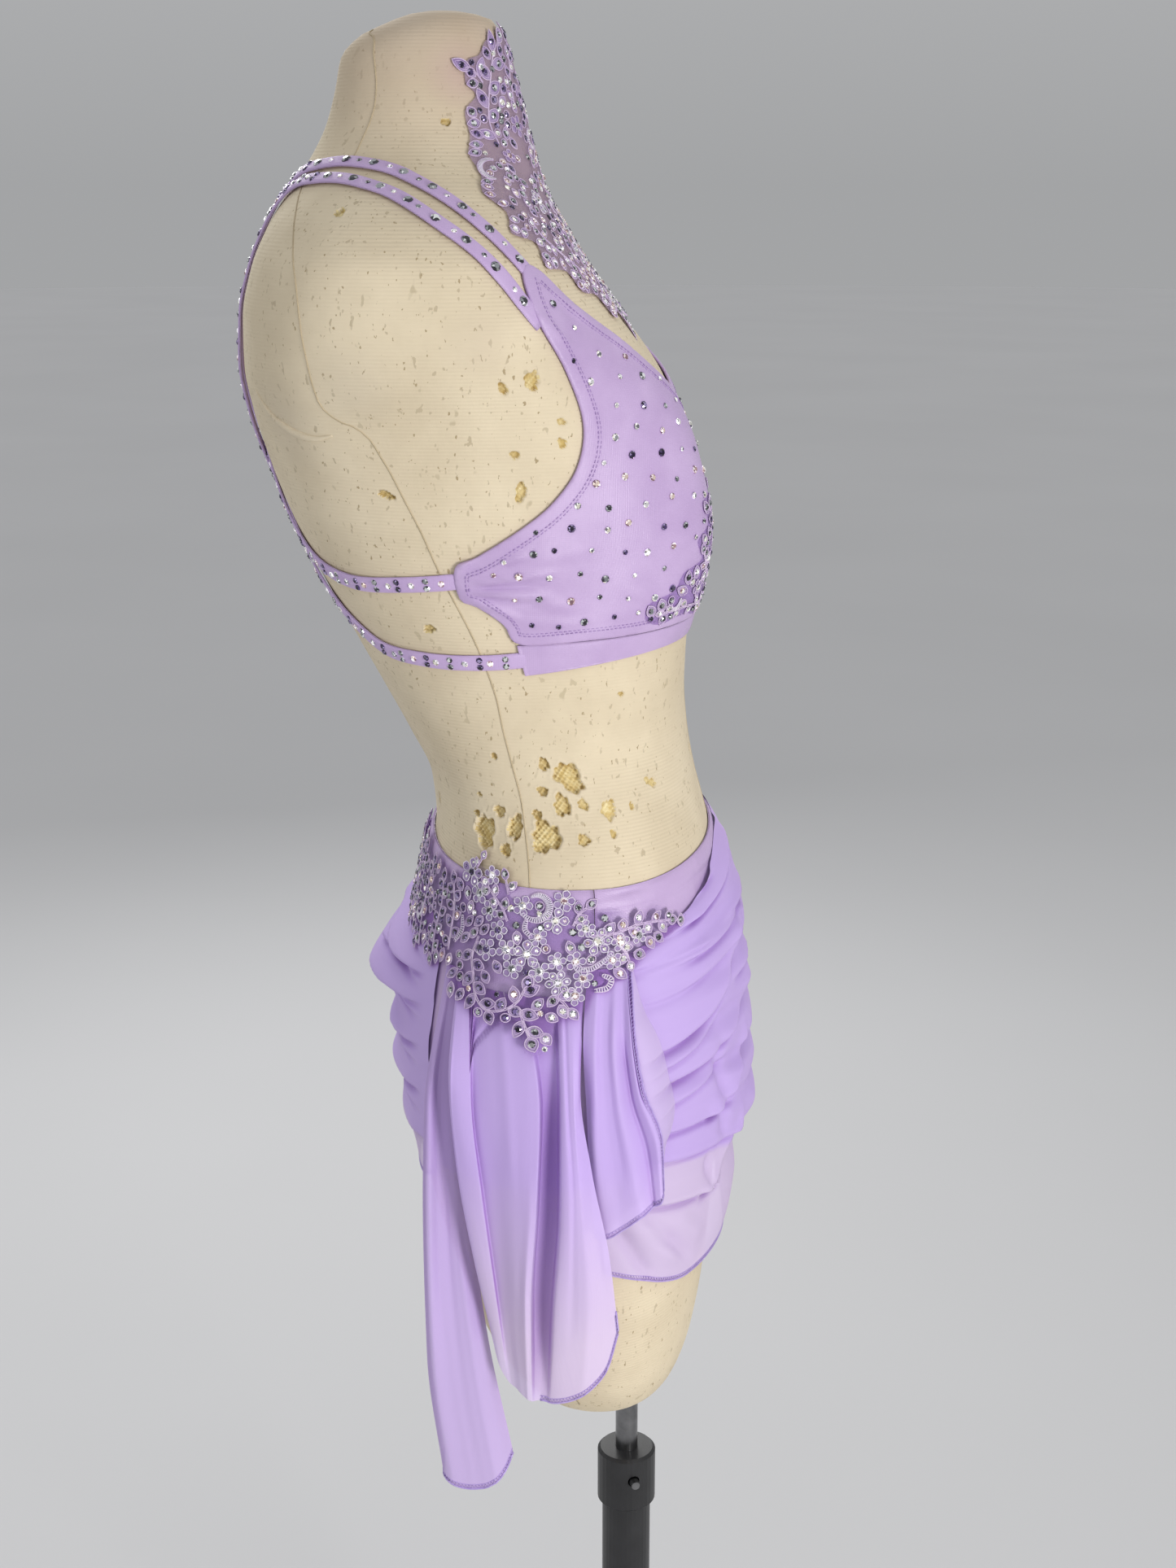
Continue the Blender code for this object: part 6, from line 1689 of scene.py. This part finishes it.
HIP_FLOWERS = (
    (117, 0.9985, 9, 5, 4.6), (99, 0.959, 8.5, 5, 4.4), (93.4, 0.979, 8, 5, 4.2), (91.6, 0.99, 6.6, 5, 4),
    (84, 0.967, 8.5, 6, 5), (92, 0.944, 7.5, 6, 4.6), (108.6, 0.958, 7, 5, 4.6), (88.6, 0.956, 6, 5, 4),
    (133, 0.97, 8, 5, 4.6), (154, 0.962, 8.5, 6, 4.8), (171, 0.982, 7.5, 5, 4.4), (188, 0.966, 8, 5, 4.6),
    (79.2, 0.9655, 5.6, 5, 4.2), (75, 0.968, 5.2, 5, 4), (81, 0.956, 5.6, 5, 4.2), (87, 0.9465, 6, 5, 4.4),
    (96, 0.95, 6.4, 5, 4.4), (101.8, 0.95, 6.2, 5, 4.4), (103.8, 0.96, 6.6, 5, 4.6), (97, 0.969, 5.8, 5, 4),
    (106.6, 0.97, 6.2, 5, 4.4), (86.6, 0.9745, 5.6, 5, 4), (101.2, 0.986, 6.4, 5, 4.4),
    (109.6, 0.98, 6.4, 5, 4.4), (113.4, 0.988, 6.8, 5, 4.6), (110, 1, 6, 5, 4.2),
    (88.4, 0.937, 5.6, 5, 4.4), (92.6, 0.956, 5.6, 5, 4.2),
)
HIP_CURLS = (
    (97.6, 0.987, 205, 11.5, 285, 4), (142, 0.96, 200, 9.5, 230, 3.8), (176, 0.96, 20, 9.5, 230, 3.8),
)
HIP_BRANCHES = (
    (((98.6, 0.969), (100.2, 0.973), (100, 0.979)), 2.8),
    (((80.8, 0.96), (83, 0.9555), (86, 0.9515), (88.6, 0.953), (89, 0.957)), 2.8),
    (((84.6, 0.9395), (81.8, 0.941), (81.2, 0.945), (83, 0.948)), 3),
    (((118.5, 0.956), (117, 0.964), (118, 0.972)), 2.8),
)
HIP_SPRIGS = (
    (((111.5, 0.964), (112, 0.952), (110.6, 0.941), (108.8, 0.931), (106, 0.925), (102.4, 0.9265), (99.6,
     0.933), (98.6, 0.94)), 9.8, 6.6, 6.2, 4.8, 1),
    (((99.4, 0.929), (98, 0.921), (96.6, 0.913)), 10.2, 6.8, 5.6, 4.8, 1),
    (((85.6, 0.97), (80, 0.971), (75.5, 0.974), (71, 0.974), (66.8, 0.9725)), 8.6, 5.6, 5, 4, -1),
    (((89.4, 0.976), (88, 0.983), (86.4, 0.986)), 8.6, 5.4, 5.4, 4, -1),
    (((92.6, 0.937), (90.6, 0.933), (89.6, 0.93)), 9.4, 5.8, 6, 4.4, 1),
    (((79.6, 0.964), (78, 0.959), (77.4, 0.954)), 6.8, 4.8, 4.6, 4, 1),
    (((115.6, 1.001), (114.6, 1.005), (113.8, 1.008)), 6, 4, 5, 3, 1),
    (((105, 0.991), (105.6, 0.9955), (106, 0.999)), 8.4, 5.2, 6, 4.4, -1),
    (((104.6, 0.976), (106, 0.982), (108.6, 0.988), (111, 0.993)), 7.4, 5, 5, 4.2, 1),
    (((120, 0.95), (120.8, 0.963), (121.5, 0.976), (123, 0.988)), 8.8, 5.8, 5.6, 4.4, 1),
    (((126.5, 0.942), (127.4, 0.956), (127, 0.972), (128, 0.986)), 8.8, 5.8, 5.6, 4.4, -1),
    (((136, 0.94), (138, 0.95), (139, 0.976), (137.5, 0.99)), 8.8, 5.8, 5.6, 4.4, 1),
    (((146, 0.94), (148, 0.952), (147.5, 0.972), (149, 0.992)), 8.8, 5.8, 5.6, 4.4, -1),
    (((160, 0.942), (162, 0.956), (160.5, 0.974), (157, 0.992)), 8.8, 5.8, 5.6, 4.4, 1),
    (((170, 0.952), (168, 0.964), (165, 0.974)), 8.8, 5.8, 5.6, 4.4, -1),
    (((181, 0.948), (182.5, 0.96), (181, 0.976), (179, 0.988)), 8.8, 5.8, 5.6, 4.4, 1),
    (((192, 0.956), (196, 0.966), (200, 0.97), (205, 0.972)), 8.6, 5.6, 5.4, 4.2, -1),
    (((192, 0.972), (195, 0.98), (197, 0.988)), 8.4, 5.4, 5.4, 4.2, 1),
)
HIP_LOOSE = (
    (82.4, 0.98, "grey"), (87.4, 0.964, "grey"), (89.4, 0.9725, "grey"), (102.4, 0.9745, "grey"),
    (104.2, 0.9835, "clear"), (96.6, 0.9745, "grey"),
)
# Each lace: name, solid, outline, lift, stone colours, motifs, chance of a scattered motif, seed, cut
# height, net's look, and whether a flower's petals are silver at a place
LACES = (
    ("lace_neckpiece", "lace_neck", mirrored(NECK_LACE), neck_lift, neck_colour,
     (NECK_FLOWERS, NECK_CURLS, (), NECK_SPRIGS, ()), lambda turn: 0.8, 11, 0.19, NECK_NET,
     lambda turn, height: height < 1.4),
    ("lace_top", "lace_bra", mirrored(BRA_LACE), bra_lift, bra_colour,
     (BRA_FLOWERS, BRA_CURLS, (), BRA_SPRIGS, ()), lambda turn: 0.6, 12, 0.10, NET,
     lambda turn, height: False),
    ("lace_hip", "lace_hip", list(HIP_LACE), hip_lift, hip_colour,
     (HIP_FLOWERS, HIP_CURLS, HIP_BRANCHES, HIP_SPRIGS, HIP_LOOSE), lambda turn: 0.8 if turn < 104 else 0.9,
     13, 0.11, NET, lambda turn, height: turn < 121),
)
SCATTERED = ((3.6, 2.5, "leaf"), (2.7, 3.0, "ring"), (1.9, 3.0, "stone"))
NET_SPACING, NET_EDGE_STEP = 0.0052, 0.0035


def build_lace():
    """The three laces on their nets."""
    for name, solid, outline, lift, colours, motifs, cover, seed, tall, look, silver in LACES:
        lace = Lace(name, outline, lift, colours, seed)
        flowers, curls, branches, sprigs, loose = motifs
        for side in (1,) if name == "lace_hip" else (1, -1):
            for turn, height, radius, petals, stone in flowers:
                if side > 0 or turn > 1:
                    lace.flower(side * turn, height, radius, petals, stone, silver(turn, height))
            for turn, height, lean, radius, around, band in curls:
                lace.curl(side * turn, height, lean if side > 0 else 180 - lean, radius, side * around, band)
            for rows, band in branches:
                lace.branch(rows, band)
            for rows, length, width, pitch, stone, first in sprigs:
                if side > 0 or rows[0][0] > 1 or rows[-1][0] > 1:
                    stem = [(side * turn, height) for turn, height in rows]
                    lace.sprig(stem, length, width, pitch, stone, side * first)
            for turn, height, colour in loose:
                lace.gem(turn, height, 4.8, 0.1, colour)
                lace.take(turn, height, 2.8)
        lace.border(9.0, 5.8, 3.4, 4.2)
        lace.scatter(700, SCATTERED, 4.2, cover)
        ground = patch(
            name + "_net", outline, NET_SPACING, NET_EDGE_STEP,
            lambda turn, height, far: (lift(turn, height) - 0.05 * MM, lift(turn, height) + 0.15 * MM), look
        )
        assigned(ground, solid)
        lace.make()


# Stones on the cups: rows and places along them, how far they wander, and how far they keep from the edge
# and the lace
CUP_ROWS, CUP_PLACES = np.arange(1.158, 1.36, 0.0138), np.arange(-100.0, 100.0, 6.3)
CUP_WANDER, CUP_ROW_WANDER = 1.1, 3 * MM
CUP_MARGIN, LACE_MARGIN = 5 * MM, 2 * MM
# Stones on the straps: (size, colour) in turn over the shoulder, then one and two across by turns
SHOULDER_END, SHOULDER_STEP, STRAP_STEP = 0.185, 0.0116, 0.0086
# Over the shoulder the large stones are grey; the second small one is grey too in place of a clear one,
# painted shade on stones turned from the light.
SHOULDER_STONES = ((6.0, "grey"), (3.4, "clear"), (6.0, "grey"), (3.4, "grey"))
STRAP_START, STRAP_STOP, PAIR_APART = 0.013, 0.012, 2.3 * MM


def build_stones(straps):
    """Stones on the cups and on the outer faces of the straps."""
    rng = np.random.default_rng(5)
    cups, lace = smooth_loop(mirrored(BRA_EDGE), 0.004), smooth_loop(mirrored(BRA_LACE), 0.004)
    places = []
    names = ("clear", "grey", "rose", "clear", "violet", "grey")
    for j, height in enumerate(CUP_ROWS):
        for turn in CUP_PLACES:
            turn = turn + 3.15 * (j % 2) + rng.uniform(-CUP_WANDER, CUP_WANDER)
            high = height + rng.uniform(-CUP_ROW_WANDER, CUP_ROW_WANDER)
            spot = np.array([[turn, high]]) * FLAT
            clear = inside(spot, cups)[0] and loop_gap(spot, cups)[0] >= CUP_MARGIN
            if clear and not inside(spot, lace)[0] and loop_gap(spot, lace)[0] >= LACE_MARGIN:
                places.append((turn, high, rng.choice((3.2, 4.2, 4.8)), names[int(rng.integers(6))], 0.35))
    stones("crop_top", places, bra_face)
    places = []
    for high in straps:
        middle = high[:, high.shape[1] // 2]
        walk = walked(middle)
        at, k = STRAP_START, 0
        while at < walk[-1] - STRAP_STOP:
            i = int(np.searchsorted(walk, at))
            across = unit(high[i, -1] - high[i, 0])
            out = unit(np.cross(across, middle[i + 1] - middle[i - 1]))
            if out @ (middle[i] - np.array([0.0, 0.09, middle[i, 2] - 0.05])) < 0:
                out = -out
            if at < SHOULDER_END:
                places.append((middle[i], out, *SHOULDER_STONES[k % 4]))
            elif k % 2:
                for off in (-PAIR_APART, PAIR_APART):
                    places.append((middle[i] + across * off, out, 4.0, ("grey", "violet")[(k // 2) % 2]))
            else:
                places.append((middle[i], out, 4.2, ("clear", "rose", "clear")[(k // 2) % 3]))
            at += (SHOULDER_STEP if at < SHOULDER_END else STRAP_STEP) * rng.uniform(0.94, 1.06)
            k += 1
    set_stones("straps", places)


# Stand, floor, light and camera
STAND = (
    ("base_plate", STAND_BLACK, "stand_black"), ("outer_tube", STAND_BLACK, "stand_black"),
    ("collar", STAND_BLACK, "stand_black"), ("collar_screw", DARKENED_POLE_STEEL, "pole_steel"),
    ("pole", DARKENED_POLE_STEEL, "pole_steel")
)
# Lights: name, place, aim, size, power, colour and spread in degrees
LIGHTS = (
    ("key", (-1.85, -1.25, 1.02), (0.0, 0.05, 0.93), 0.7, 15.5, (1.0, 0.985, 0.965), 130.0),
    ("fill", (-2.0, 1.9, 1.3), (0.0, 0.05, 1.05), 1.8, 9.0, (0.96, 0.975, 1.0), 180.0),
    ("back", (2.3, 0.6, 2.2), (0.0, 0.05, 1.05), 1.6, 30.0, (1.0, 1.0, 1.0), 180.0),
)
LOW_SKY, HIGH_SKY = (0.0, (0.367, 0.3715, 0.379)), (0.45, (0.60, 0.605, 0.615))
CAMERA_AT, CAMERA_DOWN, CAMERA_LENS, CAMERA_SENSOR = (-1.335, 0.0281, 1.405), 16.0, 48.0, 36.0


def dress_stand():
    """Materials of the stand's own solids."""
    for name, look, slot in STAND:
        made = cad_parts[name]
        made.data.materials.clear()
        made.data.materials.append(look)


def set_light(name, at, aim, size, power, colour, spread):
    """A round area light."""
    data = bpy.data.lights.new(name, "AREA")
    data.shape, data.size, data.spread = "DISK", size, math.radians(spread)
    data.energy, data.color = power, colour
    made = bpy.data.objects.new(name, data)
    bpy.context.scene.collection.objects.link(made)
    made.location = at
    made.rotation_euler = (Vector(aim) - Vector(at)).to_track_quat("-Z", "Y").to_euler()


def set_stage():
    """Floor, sky, lights and camera."""
    bpy.ops.mesh.primitive_circle_add(vertices=96, radius=30.0, fill_type="NGON", location=(0, 0, -0.0005))
    floor = bpy.context.object
    floor.name = "floor"
    floor.data.materials.append(FLOOR)
    scene = bpy.context.scene
    scene.world = bpy.data.worlds.new("studio")
    scene.world.use_nodes = True
    tree = scene.world.node_tree
    split = node(tree, "SeparateXYZ", {0: coords_of(tree, "Generated")})
    sky = ramp(tree, split.outputs[2], (LOW_SKY, HIGH_SKY))
    fed(tree, tree.nodes["Background"], {"Color": sky, "Strength": 1.0})
    for light in LIGHTS:
        set_light(*light)
    scene.view_settings.view_transform = "Standard"
    camera = bpy.data.cameras.new("camera")
    camera.lens, camera.sensor_width = CAMERA_LENS, CAMERA_SENSOR
    made = bpy.data.objects.new("camera", camera)
    scene.collection.objects.link(made)
    made.location = CAMERA_AT
    down = math.radians(CAMERA_DOWN)
    made.rotation_mode = "QUATERNION"
    made.rotation_quaternion = Vector((math.cos(down), 0, -math.sin(down))).to_track_quat("-Z", "Y")
    scene.camera = made


build_form()
build_top()
straps = build_straps()
build_skirt()
build_tails(build_drapes())
build_lace()
build_stones(straps)
dress_stand()
set_stage()
